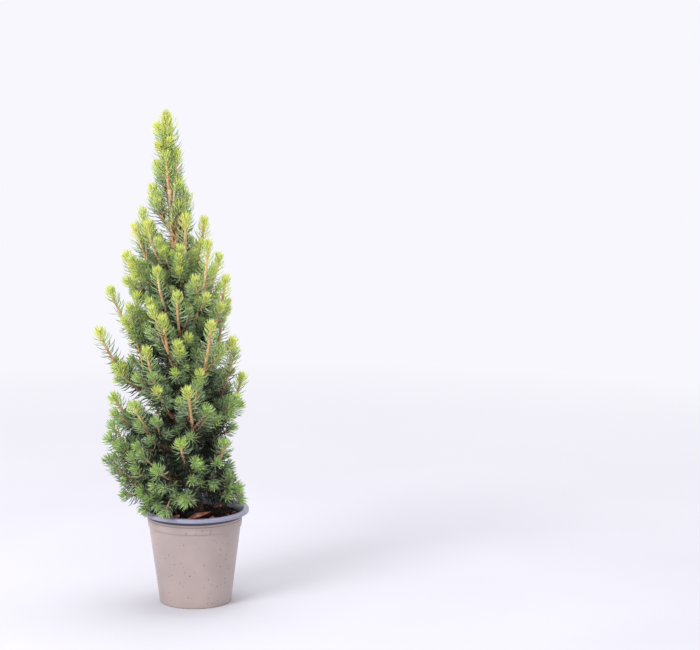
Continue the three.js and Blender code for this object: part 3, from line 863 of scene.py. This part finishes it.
# The look of each spray, as its number in the table of looks, where the last is for young hearts
def spray_looks(shoot, base, to_tip, in_tuft):
    spray = (to_tip / SPRAY_LENGTH).astype(np.int64)
    luck = chance(shoot.seed + SEED_SPRAY, spray)
    height = np.clip((base[:, 2] - SCORE_FOOT_Z) / SCORE_HEIGHT, 0, 1)
    depth = 1 - np.clip(crown_share(base), 0, 1)
    grown = TIP_SCORE + (spray + SPRAY_PLACE) * SPRAY_LENGTH / SCORE_LENGTH
    grown = np.minimum(grown, MOST_SCORE - MOST_SCORE_FALLS * height)
    score = np.where(in_tuft, TUFT_SCORE, grown) + shoot.age
    # Partly painted shade: sprays low on the plant take darker looks
    score = score + LOW_AGE_AND_SHADE_SCORE * (1 - height) ** LOW_POWER + LUCK_SCORE * (luck - 0.5)
    score += ORDER_SCORES[shoot.order] * (ORDER_AT_FOOT - ORDER_FALLS * height)
    # Painted shade: sprays deep in the crown take darker looks
    score += np.clip(depth - DEPTH_SHADE_FROM, 0, 1) * profile_at(DEPTH_SHADE_SCORES, base[:, 2])
    looks = np.clip(np.floor(score), 0, len(NEEDLE_LOOKS) - 2).astype(int)
    young = in_tuft & (base[:, 2] < YOUNG_BELOW + YOUNG_LUCK * luck) & (shoot.order < 2)
    return np.where(young & (score < YOUNG_MOST_SCORE), len(NEEDLE_LOOKS) - 1, looks)


# Whether needles keep off the pot's wall and rim, out of the soil and out of the opening at the
# front where the soil shows
def needles_clear(points):
    radius, height = np.hypot(points[:, 0], points[:, 1]), points[:, 2]
    at_wall = (radius > POT_STEP_R) & (radius < POT_RIM_R + 1) & (height < POT_HEIGHT + 1)
    in_soil = (radius <= POT_STEP_R) & (height < SOIL_TOP + 1)
    return ~at_wall & ~in_soil & ~before_soil(points) & (height > POT_HEIGHT - DROOP_LIMIT)


def before_soil(points):
    opening_x, opening_y, opening_z = SOIL_SHOWS
    return (points[:, 0] > opening_x) & (points[:, 1] < opening_y) & (points[:, 2] < opening_z)


def before_trunk(points):
    low, high = TRUNK_SHOWS
    across = from_trunk(points)
    near = (np.abs(across[:, 0]) < TRUNK_SHOWS_WIDE) & (across[:, 1] < 0)
    return near & (points[:, 2] > low) & (points[:, 2] < high)


# One row for each needle that is kept, with its look last
def needle_rows(shoots):
    columns = []
    for shoot in shoots:
        base, pointing, along, length, to_tip, in_tuft = stand_needles(shoot)
        looks = spray_looks(shoot, base, to_tip, in_tuft)
        width = np.full(len(base), shoot.width)
        columns.append(np.column_stack([base, pointing, along, length, width, looks]))
    rows = np.concatenate(columns)
    base, tips = rows[:, 0:3], rows[:, 0:3] + rows[:, 3:6] * rows[:, 9:10]
    outside = np.linalg.norm(from_trunk(tips), axis=1) > trunk_radius(tips[:, 2])
    kept = needles_clear(tips) & needles_clear(base) & outside
    lucky = chance(np.arange(len(rows)), SEED_TRUNK_SHOWS) < TRUNK_SHOWS_KEPT
    return rows[kept & (~before_trunk((base + tips) / 2) | lucky)]


# Each needle is a slim three-sided blade of ten faces that bends a little towards its shoot's tip
def needle_mesh(rows):
    base, pointing, along = rows[:, 0:3], rows[:, 3:6], rows[:, 6:9]
    length, width = rows[:, 9:10], rows[:, 10:11]
    side = unit(np.cross(pointing, along))
    over = np.cross(side, pointing)
    shoulder = base + pointing * length * NEEDLE_SHOULDER - over * length * NEEDLE_BEND / 2
    tip = base + pointing * length + over * length * NEEDLE_BEND / 2
    turns = (math.pi / 2, math.pi * 7 / 6, math.pi * 11 / 6)
    round_it = [math.cos(turn) * over + math.sin(turn) * side for turn in turns]
    foot = [base + NEEDLE_FOOT_WIDE * width * out for out in round_it]
    ring = [shoulder + NEEDLE_WIDEST * width * out for out in round_it]
    points = np.stack([*foot, *ring, tip], axis=1).reshape(-1, 3)
    offsets = NEEDLE_POINTS * np.arange(len(rows))[:, None, None]
    return points, (NEEDLE_FACES[None] + offsets).reshape(-1, 3)


# Rings of points about an upright axis, one for each radius and height
def ring_points(radii, heights, sides):
    angle = np.linspace(0, 2 * np.pi, sides, endpoint=False)
    radii, heights = np.array(radii, float)[:, None], np.array(heights, float)[:, None]
    return np.stack([radii * np.cos(angle), radii * np.sin(angle), heights + 0 * angle], -1)


# Faces that join low rings to high rings, both given by number
def ring_walls(low, high, sides):
    k = np.arange(sides)
    after = (k + 1) % sides
    low, high = low[:, None] * sides, high[:, None] * sides
    return np.concatenate([
        np.stack([low + k, low + after, high + after], -1).reshape(-1, 3),
        np.stack([low + k, high + after, high + k], -1).reshape(-1, 3),
    ])


# A closed skin: rings joined one after another, and a point in the middle of the first and the last
def capped_rings(rings, foot, tip):
    count, sides = rings.shape[:2]
    k = np.arange(sides)
    after = (k + 1) % sides
    middle, last = count * sides, (count - 1) * sides
    faces = np.concatenate([
        ring_walls(np.arange(count - 1), np.arange(1, count), sides),
        np.stack([np.full(sides, middle), after, k], -1),
        np.stack([last + k, last + after, np.full(sides, middle + 1)], -1),
    ])
    return np.concatenate([rings.reshape(-1, 3), [foot, tip]]), faces


# A tube for bark, whose relief is given by ring and side
def tube(centres, along, normal, radii, sides, relief):
    angle = np.linspace(0, 2 * np.pi, sides, endpoint=False)[None, :, None]
    over = np.cross(along, normal)
    outward = np.cos(angle) * normal[:, None] + np.sin(angle) * over[:, None]
    radius = radii[:, None] + relief(np.arange(len(centres))[:, None], np.arange(sides)[None, :])
    return capped_rings(centres[:, None] + outward * radius[..., None], centres[0], centres[-1])


# The bark of a shoot between two shares of it, rough with the pegs that needles stand on
def shoot_bark(shoot, start, end):
    steps = max(2, int(shoot.length * (end - start) / BARK_STEPS[shoot.order]))
    share = np.linspace(start, end, steps + 1)
    centres, along = bezier(shoot.control, share), heading(shoot.control, share)
    radii = mix(shoot.foot_r, shoot.tip_r, share)
    normal = np.repeat(bend_normal(shoot.control)[None], len(share), axis=0)

    def pegs(ring, side):
        rough = PEG_ROUGH * (chance(ring + shoot.seed, side) - 0.5)
        return radii[:, None] * (PEG_OUT * ((ring + side) % 2) + rough)

    return tube(centres, along, normal, radii, BARK_SIDES[shoot.order], pegs)


def trunk_bark():
    step, sides = TRUNK_BARK_STEP, TRUNK_BARK_SIDES
    heights = np.arange(SOIL_TOP - 1, TRUNK_TOP_Z + step / 2, step)
    centres = trunk_point(heights)
    along = unit(np.gradient(centres, axis=0))
    normal = unit(np.cross(np.cross(along, [1.0, 0, 0]), along))
    radii = trunk_radius(heights)
    flare = FLARE_OUT * np.exp(-np.maximum(heights - SOIL_TOP, 0) / FLARE_HEIGHT)

    def plates(ring, side):
        angle = 2 * np.pi * side / sides
        ridge = 1 - FLARE_RIDGE + FLARE_RIDGE * np.cos(FLARE_ROOTS * angle)

        def rough(count, height, seed):
            return noise(side * count / sides + 0 * ring, ring * step / height + 0 * side, seed, count)

        raised = np.abs(rough(PLATES_ROUND, PLATE_HEIGHT, SEED_PLATES)) ** 0.5
        relief = PLATE_DEPTH * (raised - PLATE_MIDDLE)
        relief += GRAIN_DEPTH * rough(GRAIN_ROUND, GRAIN_HEIGHT, SEED_GRAIN)
        return flare[:, None] * ridge + radii[:, None] / TRUNK_FOOT_R * relief

    return tube(centres, along, normal, radii, sides, plates)


# Materials
def linear(colour):
    values = np.array(colour) / 255
    return (*np.where(values <= 0.04045, values / 12.92, ((values + 0.055) / 1.055) ** 2.4), 1.0)


def shaded(colour, factor):
    return tuple(min(255, value * factor) for value in colour)


class Finish:
    """A node material with a Principled shader and helpers that add and join nodes."""

    def __init__(self, name, roughness, specular):
        self.material = bpy.data.materials.new(name)
        self.material.use_nodes = True
        self.nodes = self.material.node_tree.nodes
        self.shader = self.nodes["Principled BSDF"]
        self.set({"Roughness": roughness, "Specular IOR Level": specular})
        self.place = self.node("TexCoord").outputs["Object"]

    def node(self, kind):
        return self.nodes.new("ShaderNode" + kind)

    def set(self, values):
        for name, value in values.items():
            self.shader.inputs[name].default_value = value

    def join(self, output, target):
        self.material.node_tree.links.new(output, target)

    # A texture that reads the object's own coordinates, stretched where asked
    def texture(self, kind, stretch=None, **values):
        node = self.node("Tex" + kind)
        for name, value in values.items():
            node.inputs[name].default_value = value
        place = self.place
        if stretch is not None:
            mapping = self.node("Mapping")
            mapping.inputs["Scale"].default_value = stretch
            self.join(place, mapping.inputs["Vector"])
            place = mapping.outputs["Vector"]
        self.join(place, node.inputs["Vector"])
        return node

    def noise(self, scale, detail, rough=0.5, stretch=None):
        return self.texture("Noise", stretch, Scale=scale, Detail=detail, Roughness=rough).outputs["Fac"]

    def ramp(self, value, stops):
        node = self.node("ValToRGB")
        elements = node.color_ramp.elements
        while len(elements) < len(stops):
            elements.new(0.5)
        for element, (place, colour) in zip(elements, stops):
            element.position = place
            element.color = linear(colour)
        self.join(value, node.inputs["Fac"])
        return node.outputs["Color"]

    # Dark, middle and light tones around the middle of a value
    def tones(self, value, colours, spread):
        return self.ramp(value, list(zip((0.5 - spread, 0.5, 0.5 + spread), colours)))

    # How far a value lies between two ends, from 0 to 1
    def between(self, value, ends):
        node = self.node("MapRange")
        node.inputs["From Min"].default_value, node.inputs["From Max"].default_value = ends
        self.join(value, node.inputs["Value"])
        return node.outputs["Result"]

    def blend(self, factor, first, second, kind="MIX"):
        node = self.node("Mix")
        node.data_type = "RGBA"
        node.blend_type = kind
        for value, socket in ((factor, 0), (first, 6), (second, 7)):
            if isinstance(value, bpy.types.NodeSocket):
                self.join(value, node.inputs[socket])
            else:
                node.inputs[socket].default_value = value
        return node.outputs[2]

    def bump(self, height, depth):
        node = self.node("Bump")
        node.inputs["Distance"].default_value = depth * MM
        node.inputs["Strength"].default_value = 1
        self.join(height, node.inputs["Height"])
        self.join(node.outputs["Normal"], self.shader.inputs["Normal"])

    def colour(self, output):
        self.join(output, self.shader.inputs["Base Color"])


def needle_finish(name):
    colour, dark, light, glow, gloss = NEEDLE_LOOKS[name]
    finish = Finish(f"needles_{name}", NEEDLE_ROUGHNESS, gloss)
    finish.set({
        "Sheen Weight": SHEEN, "Sheen Roughness": SHEEN_ROUGHNESS, "Sheen Tint": linear(SHEEN_TINT),
        "Subsurface Weight": glow, "Subsurface Radius": SUBSURFACE_RADIUS,
        "Subsurface Scale": SUBSURFACE_DEPTH * MM,
    })
    shades = (shaded(colour, dark), colour, shaded(colour, light))
    soft = finish.noise(scale=240, detail=2)
    finish.colour(finish.tones(soft, shades, spread=0.16))
    return finish.material


# The grain of bark, with relief three times as fine
def bark_grain(finish, scale):
    finish.bump(finish.noise(scale * 3, detail=4), depth=0.3)
    return finish.noise(scale, detail=6, rough=0.65, stretch=(1, 1, 0.45))


def bark_finish(name, dark, middle, light, scale):
    finish = Finish(name, roughness=0.8, specular=0.3)
    finish.colour(finish.tones(bark_grain(finish, scale), (dark, middle, light), spread=0.18))
    return finish.material


# The trunk's bark is old and dark at the foot, darker still as painted shade, and young and light
# towards the top, lighter still as painted light
def trunk_finish():
    finish = Finish("bark_trunk", roughness=0.8, specular=0.3)
    grain = bark_grain(finish, TRUNK_GRAIN)
    old, young = (finish.tones(grain, looks, spread=0.18) for looks in (TRUNK_FOOT_OLD_AND_SHADED, TRUNK_TOP_YOUNG_AND_LIT))
    height = finish.node("SeparateXYZ")
    finish.join(finish.place, height.inputs[0])
    upward = finish.between(height.outputs["Z"], TRUNK_LIGHTENS)
    finish.colour(finish.blend(upward, old, young))
    return finish.material


# Slightly cloudy plastic with a few small dark specks
def plastic_finish(name, colour, roughness):
    finish = Finish(name, roughness, specular=0.5)
    cloudy = finish.noise(scale=14, detail=4)
    base = finish.ramp(cloudy, [(0.35, shaded(colour, 0.95)), (0.65, shaded(colour, 1.03))])
    cells = finish.texture("Voronoi", Scale=POT_SPECKS)
    spot = finish.ramp(cells.outputs["Distance"], [(0.13, (255, 255, 255)), (0.19, (0, 0, 0))])
    some = finish.ramp(cells.outputs["Color"], [(0.66, (0, 0, 0)), (0.7, (255, 255, 255))])
    both = finish.blend(1.0, spot, some, "MULTIPLY")
    finish.colour(finish.blend(both, base, linear(SPECK_COLOUR)))
    finish.bump(finish.noise(scale=900, detail=2), depth=0.03)
    return finish.material


def soil_finish():
    finish = Finish("growing_mix", roughness=0.95, specular=0.2)
    crumbs = finish.noise(scale=260, detail=8, rough=0.7)
    finish.colour(finish.ramp(crumbs, list(zip((0.35, 0.55, 0.72), SOIL_COLOURS))))
    finish.bump(finish.noise(scale=420, detail=6), depth=1.2)
    return finish.material


def chip_finish():
    finish = Finish("bark_chips", roughness=0.75, specular=0.3)
    grain = finish.noise(scale=150, detail=6, rough=0.6, stretch=(0.35, 1.6, 1.6))
    finish.colour(finish.tones(grain, CHIP_COLOURS, spread=0.16))
    finish.bump(grain, depth=0.6)
    return finish.material


# Pieces
def show(name, data):
    made = bpy.data.objects.new(name, data)
    bpy.context.scene.collection.objects.link(made)
    return made


def add_piece(name, points, faces, material, nodes, slot, smooth=True):
    mesh = bpy.data.meshes.new(name)
    mesh.vertices.add(len(points))
    mesh.vertices.foreach_set("co", (np.asarray(points) * MM).astype(np.float32).ravel())
    mesh.loops.add(faces.size)
    mesh.loops.foreach_set("vertex_index", faces.astype(np.int32).ravel())
    mesh.polygons.add(len(faces))
    mesh.polygons.foreach_set("loop_start", np.arange(0, faces.size, 3, dtype=np.int32))
    mesh.polygons.foreach_set("use_smooth", np.full(len(faces), smooth))
    mesh.update(calc_edges=True)
    mesh.materials.append(material)
    piece = show(name, mesh)
    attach(piece, "root")
    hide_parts(*nodes)
    return piece


def joined(parts):
    points, faces, start = [], [], 0
    for part_points, part_faces in parts:
        points.append(part_points)
        faces.append(part_faces + start)
        start += len(part_points)
    return np.concatenate(points), np.concatenate(faces)


def add_needles(rows):
    for number, name in enumerate(NEEDLE_LOOKS):
        material = needle_finish(name)
        chosen = rows[rows[:, -1] == number]
        parts = max(1, math.ceil(len(NEEDLE_FACES) * len(chosen) / MOST_TRIANGLES))
        slot = "needles_upper" if number < UPPER_LOOKS else "needles_lower"
        for part, some in enumerate(np.array_split(chosen, parts)):
            piece_name = f"needles_{name}_{part + 1}"
            add_piece(piece_name, *needle_mesh(some), material, FOLIAGE_NODES, slot, smooth=False)


# Bark in stretches by age, and lighter high on the plant as painted light: each shoot's stretches go
# to the piece that has their look
def add_bark(shoots):
    add_piece("trunk_bark", *trunk_bark(), trunk_finish(), ["trunk"], "bark")
    stretches = {name: [] for name in BARK_PIECES}
    for shoot in (shoot for shoot in shoots if shoot.has_bark):
        if shoot.order == 0:
            turns = [max(0, 1 - reach / shoot.length) for reach in BARK_TURNS]
            spans = zip((0, *turns), (*turns, 1), ("boughs_bark", "stems_bark", "shoots_bark"))
        else:
            outer = crown_share(shoot.control[2:])[0] > TAN_FROM
            spans = [(0, 1, "twigs_tan" if outer else "twigs_brown")]
        # Painted light: shoots high on the plant get lighter bark
        upper = shoot.control[2][2] > UPPER_BARK_FROM
        for start, end, name in spans:
            if end > start:
                name = "upper_bark_painted_light" if upper and name != "boughs_bark" else name
                stretches[name].append(shoot_bark(shoot, start, end))
    finishes = {name: bark_finish(name, *look) for name, look in BARK_LOOKS.items()}
    for name, parts in stretches.items():
        nodes = BOUGH_NODES if name == "boughs_bark" else FOLIAGE_NODES
        add_piece(name, *joined(parts), finishes[BARK_PIECES[name]], nodes, "bark")


# A closed profile turned about the pot's axis
def lathe(profile):
    radii, heights = zip(*profile)
    rows = np.arange(len(profile))
    faces = ring_walls(rows, (rows + 1) % len(profile), POT_SIDES)
    return ring_points(radii, heights, POT_SIDES).reshape(-1, 3), faces


# A flat round plate about the axis
def plate(radius, low, high, sides):
    rings = ring_points((radius, radius), (low, high), sides)
    return capped_rings(rings, (0, 0, low), (0, 0, high))


def arc(centre, radius, start, end, steps):
    angles = np.radians(np.linspace(start, end, steps))
    return [(centre[0] + radius * math.cos(a), centre[1] + radius * math.sin(a)) for a in angles]


# The taupe outer skin of the pot, from its foot to under its rim
def pot_outer_profile():
    step_top = POT_STEP_Z + POT_STEP_OUT
    neck_slope = (POT_NECK_R - POT_STEP_R - POT_STEP_OUT) / (POT_RIM_FOOT - step_top)

    def neck(z):
        return POT_NECK_R + neck_slope * (z - POT_RIM_FOOT)

    outer = [(POT_CENTRE_R, 0), (POT_FOOT_R - POT_FOOT_ROUND, 0)]
    outer += arc((POT_FOOT_R - POT_FOOT_ROUND + 0.2, POT_FOOT_ROUND), POT_FOOT_ROUND, -70, -8, 5)
    outer += [(POT_FOOT_R + POT_SLOPE * z, z) for z in (8, 20, 40, 60, 80, POT_STEP_Z - 1)]
    outer += [(POT_STEP_R - 0.1, POT_STEP_Z - 0.3), (POT_STEP_R + 0.7, POT_STEP_Z + 0.2)]
    outer += [(POT_STEP_R + POT_STEP_OUT, step_top - 0.3), (neck(step_top + 1), step_top + 1)]
    outer += [(neck(POT_LINE_Z - 1), POT_LINE_Z - 1), (neck(POT_LINE_Z) - POT_GROOVE, POT_LINE_Z)]
    outer += [(neck(POT_LINE_Z + 0.8) + 0.15, POT_LINE_Z + 0.8)]
    outer += [(neck(POT_RIM_FOOT - 5), POT_RIM_FOOT - 5)]
    return outer + [(r - POT_SKIN, max(z, POT_SKIN)) for r, z in reversed(outer)]


# The blue-grey inner skin and the rim that is folded from it
def pot_inner_profile():
    rim = arc((POT_RIM_R - POT_LIP_ROUND, POT_HEIGHT - POT_LIP_ROUND), POT_LIP_ROUND, 80, 0, 6)
    lip_foot = (POT_RIM_R - POT_LIP_FOOT_ROUND, POT_RIM_FOOT + POT_LIP_FOOT_ROUND)
    rim += arc(lip_foot, POT_LIP_FOOT_ROUND, -10, -90, 4)
    rim += [(POT_NECK_R + 1.2, POT_RIM_FOOT + 0.1), (POT_NECK_R, POT_RIM_FOOT)]
    step_r, step_z = POT_STEP_R + POT_STEP_OUT, POT_STEP_Z + POT_STEP_OUT
    under = [(POT_NECK_R - POT_SKIN, POT_RIM_FOOT - 1), (step_r - POT_SKIN, step_z)]
    under += [(POT_STEP_R - POT_SKIN, POT_STEP_Z), (POT_FOOT_R - POT_SKIN + POT_SLOPE * 2, 2)]
    under += [(POT_FOOT_R - 3, POT_SKIN + 0.1), (POT_CENTRE_R, POT_SKIN + 0.1)]
    inside = [(POT_CENTRE_R, POT_FLOOR), (POT_FOOT_R - POT_WALL - 2, POT_FLOOR)]
    inside += [(POT_FOOT_R - POT_WALL, POT_FLOOR + 2), (POT_STEP_R - POT_WALL, POT_STEP_Z)]
    inside += [(step_r - POT_WALL, step_z), (POT_NECK_R - POT_WALL, POT_RIM_FOOT)]
    inside += arc((POT_MOUTH_R + 1, POT_HEIGHT - POT_MOUTH_ROUND), POT_MOUTH_ROUND, 160, 95, 5)
    return (rim + under + inside)[::-1]


# Drain holes are cut through both skins of the pot's floor
def cut_drains(piece):
    points, faces = plate(DRAIN_R, *DRAIN_SPAN, DRAIN_SIDES)
    angle = 2 * np.pi * np.arange(DRAIN_COUNT) / DRAIN_COUNT
    middles = DRAIN_RING_R * np.stack([np.cos(angle), np.sin(angle), 0 * angle], -1)
    points, faces = joined([(points + middle, faces) for middle in middles])
    mesh = bpy.data.meshes.new("drains")
    mesh.from_pydata((points * MM).tolist(), [], faces.tolist())
    cutter = show("drains", mesh)
    modifier = piece.modifiers.new("drains", "BOOLEAN")
    modifier.object = cutter
    modifier.solver = "EXACT"
    graph = bpy.context.evaluated_depsgraph_get()
    cut = bpy.data.meshes.new_from_object(piece.evaluated_get(graph))
    piece.modifiers.clear()
    piece.data = cut
    bpy.data.objects.remove(cutter)


def soften(piece, degrees):
    bpy.context.view_layer.objects.active = piece
    piece.select_set(True)
    bpy.ops.object.shade_smooth_by_angle(angle=math.radians(degrees))
    piece.select_set(False)


# A low ring around the pot
def band(radius, low, high):
    inside = radius - POT_BAND_DEPTH
    return lathe([(inside, low), (radius, low), (radius, high), (inside, high)])


def add_pot():
    taupe = plastic_finish("pot_taupe", TAUPE, roughness=0.36)
    blue_grey = plastic_finish("pot_blue_grey", BLUE_GREY, roughness=0.26)
    dark = plastic_finish("pot_seam_shadow", SEAM_SHADE_COLOUR, roughness=0.5)
    groove_shade_finish = plastic_finish("pot_neck_groove_shade", GROOVE_SHADE_COLOUR, roughness=0.5)
    body = add_piece("pot_body", *lathe(pot_outer_profile()), taupe, ["pot"], "pot")
    liner = add_piece("pot_rim_and_lining", *lathe(pot_inner_profile()), blue_grey, ["pot"], "pot")
    for piece in (body, liner):
        cut_drains(piece)
        soften(piece, SMOOTH_BELOW)
    # The seam ring's dark colour is painted shade in the gap under the rim, on the real seam between the
    # skins
    seam_r = POT_NECK_R + POT_SEAM_OUT
    rings = (
        ("pot_seam_shade", band(seam_r, POT_RIM_FOOT - POT_SEAM_FOOT, POT_RIM_FOOT - POT_SEAM_OUT), dark),
        # The neck line's dark colour is painted shade in the shallow groove
        ("pot_line_groove_shade", band(POT_LINE_R, POT_LINE_Z - POT_LINE_HALF, POT_LINE_Z + POT_LINE_HALF), groove_shade_finish),
        ("pot_floor", plate(POT_CENTRE_R + 0.5, 0.3, POT_FLOOR - 0.2, POT_SIDES), taupe),
    )
    for name, made, finish in rings:
        add_piece(name, *made, finish, ["pot"], "pot", smooth=False)


# Growing mix: a lumpy surface, crumbs on it and chips of bark. The surface has the finest kind of
# lumps too, and is less bumpy near its middle
def soil_height(x, y, kinds=2, bumpy=1):
    lumps = 0
    for k, (high, wide) in enumerate(SOIL_LUMPS[:kinds]):
        lumps = lumps + high * noise(x / wide, y / wide, SEED_SOIL + k)
    return SOIL_TOP - SOIL_EDGE_DROP * (np.hypot(x, y) / SOIL_R) ** 3 + bumpy * lumps


def add_soil():
    radii = SOIL_R * np.linspace(SOIL_FIRST_RING, 1, SOIL_RINGS)
    top = ring_points(radii, 0 * radii, SOIL_SIDES)
    bumpy = np.clip(radii[:, None] / SOIL_FLAT_R, SOIL_FLAT_LEAST, 1)
    top[..., 2] = soil_height(top[..., 0], top[..., 1], len(SOIL_LUMPS), bumpy)
    foot_z = POT_FLOOR + SOIL_GAP
    foot = ring_points([POT_FOOT_R - POT_WALL - 2 * SOIL_GAP], [foot_z], SOIL_SIDES)
    points, faces = capped_rings(np.concatenate([top, foot]), (0, 0, SOIL_TOP), (0, 0, foot_z))
    add_piece("growing_mix", points, faces[:, ::-1], soil_finish(), ["soil"], "soil")


# A rough lump: an octahedron whose corners are pushed about, stretched along its own axes
def lump(middle, sizes, seed, turn, lift):
    corners = np.array([[1, 0, 0], [-1, 0, 0], [0, 1, 0], [0, -1, 0], [0, 0, 1], [0, 0, -1]], float)
    faces = np.array([
        [0, 2, 4], [2, 1, 4], [1, 3, 4], [3, 0, 4], [2, 0, 5], [1, 2, 5], [3, 1, 5], [0, 3, 5],
    ])
    edges = {}
    points = list(corners)
    split = []

    def middle_of(a, b):
        key = (min(a, b), max(a, b))
        if key not in edges:
            edges[key] = len(points)
            points.append((points[a] + points[b]) / 2 * LUMP_BULGE)
        return edges[key]

    for a, b, c in faces:
        ab, bc, ca = middle_of(a, b), middle_of(b, c), middle_of(c, a)
        split += [[a, ab, ca], [ab, b, bc], [ca, bc, c], [ab, bc, ca]]
    shape = np.array(points)
    shape *= mix(*LUMP_ROUGH, chance(seed, np.arange(len(shape))))[:, None]
    shape *= np.array(sizes) / 2
    along = np.array([math.cos(turn) * math.cos(lift), math.sin(turn) * math.cos(lift), math.sin(lift)])
    side = unit(np.cross(UP, along))
    over = np.cross(along, side)
    return middle + shape @ np.array([along, side, over]), np.array(split)


def add_crumbs():
    crumbs, chips = [], []
    for i in range(CRUMBS):
        draws = [chance(SEED_CRUMBS + k, i) for k in range(6)]
        radius, angle = SOIL_R * CRUMBS_REACH * math.sqrt(draws[0]), 2 * np.pi * draws[1]
        if radius < CRUMBS_FROM:
            continue
        x, y = radius * math.cos(angle), radius * math.sin(angle)
        size = mix(*CRUMB_SIZES, draws[2] ** 2)
        place = np.array([x, y, soil_height(x, y) + size * CRUMB_RISE])
        sizes = (size * mix(*CRUMB_LENGTHS, draws[3]), size, size * mix(*CRUMB_HEIGHTS, draws[4]))
        seed = SEED_CRUMB + i
        turn, lift = 2 * np.pi * chance(seed, SEED_CRUMB_TURN), chance(seed, SEED_CRUMB_LIFT) - 0.5
        made = lump(place, sizes, seed, turn, lift)
        (chips if draws[5] > CHIP_FROM else crumbs).append(made)
    for i, (x, y, rise, long, wide, turn, lift) in enumerate(PLACED_CHIPS):
        place = np.array([x, y, soil_height(x, y) + rise])
        sizes = (long, wide, wide * CHIP_FLAT)
        chips.append(lump(place, sizes, SEED_CHIP + i, math.radians(turn), math.radians(lift)))
    add_piece("soil_crumbs", *joined(crumbs), soil_finish(), ["soil"], "soil", smooth=False)
    add_piece("soil_bark_chips", *joined(chips), chip_finish(), ["soil"], "soil", smooth=False)


# Floor, light and camera
def add_stage():
    finish = Finish("pale_floor", roughness=0.9, specular=0.1)
    soft = finish.noise(scale=3, detail=2)
    finish.colour(finish.ramp(soft, [(0.3, FLOOR_COLOUR), (0.7, shaded(FLOOR_COLOUR, 1.02))]))
    distance = finish.node("VectorMath")
    distance.operation = "LENGTH"
    finish.join(finish.place, distance.inputs[0])
    seen = finish.node("Math")
    seen.operation = "MULTIPLY"
    finish.join(finish.between(distance.outputs["Value"], FLOOR_FADES), seen.inputs[0])
    finish.join(finish.node("LightPath").outputs["Is Camera Ray"], seen.inputs[1])
    even = finish.node("Emission")
    even.inputs["Color"].default_value = linear(BACKDROP_COLOUR)
    mixed = finish.node("MixShader")
    finish.join(seen.outputs["Value"], mixed.inputs[0])
    finish.join(finish.shader.outputs["BSDF"], mixed.inputs[1])
    finish.join(even.outputs["Emission"], mixed.inputs[2])
    finish.join(mixed.outputs["Shader"], finish.nodes["Material Output"].inputs["Surface"])
    points = ring_points([FLOOR_R], [0], FLOOR_SIDES)[0].tolist()
    mesh = bpy.data.meshes.new("studio_floor")
    mesh.from_pydata(points, [], [tuple(range(FLOOR_SIDES))])
    mesh.materials.append(finish.material)
    floor = show("studio_floor", mesh)


def add_lights():
    for name, (place, size, power) in LIGHTS.items():
        data = bpy.data.lights.new(name, "AREA")
        data.shape = "DISK"
        data.size = size
        data.energy = power
        light = show(name, data)
        light.location = place
        towards = Vector(LIGHT_TARGET) - Vector(place)
        light.rotation_euler = towards.to_track_quat("-Z", "Y").to_euler()
    world = bpy.data.worlds.new("studio")
    bpy.context.scene.world = world
    world.use_nodes = True
    nodes, links = world.node_tree.nodes, world.node_tree.links
    around = nodes["Background"]
    around.inputs["Color"].default_value = WORLD_COLOUR
    around.inputs["Strength"].default_value = WORLD_STRENGTH
    even, mixed = nodes.new("ShaderNodeBackground"), nodes.new("ShaderNodeMixShader")
    even.inputs["Color"].default_value = linear(BACKDROP_COLOUR)
    links.new(nodes.new("ShaderNodeLightPath").outputs["Is Camera Ray"], mixed.inputs[0])
    links.new(around.outputs["Background"], mixed.inputs[1])
    links.new(even.outputs["Background"], mixed.inputs[2])
    links.new(mixed.outputs["Shader"], nodes["World Output"].inputs["Surface"])
    bpy.context.scene.view_settings.view_transform = "Standard"


def add_camera():
    data = bpy.data.cameras.new("camera")
    data.lens = CAMERA_LENS
    data.sensor_width = CAMERA_SENSOR
    camera = show("camera", data)
    camera.location = [value * MM for value in CAMERA_PLACE]
    camera.rotation_euler = (math.radians(CAMERA_TILT), 0, 0)
    bpy.context.scene.camera = camera


add_camera()
add_lights()
add_stage()
add_pot()
add_soil()
add_crumbs()
shoots = grow()
add_bark(shoots)
add_needles(needle_rows(shoots))
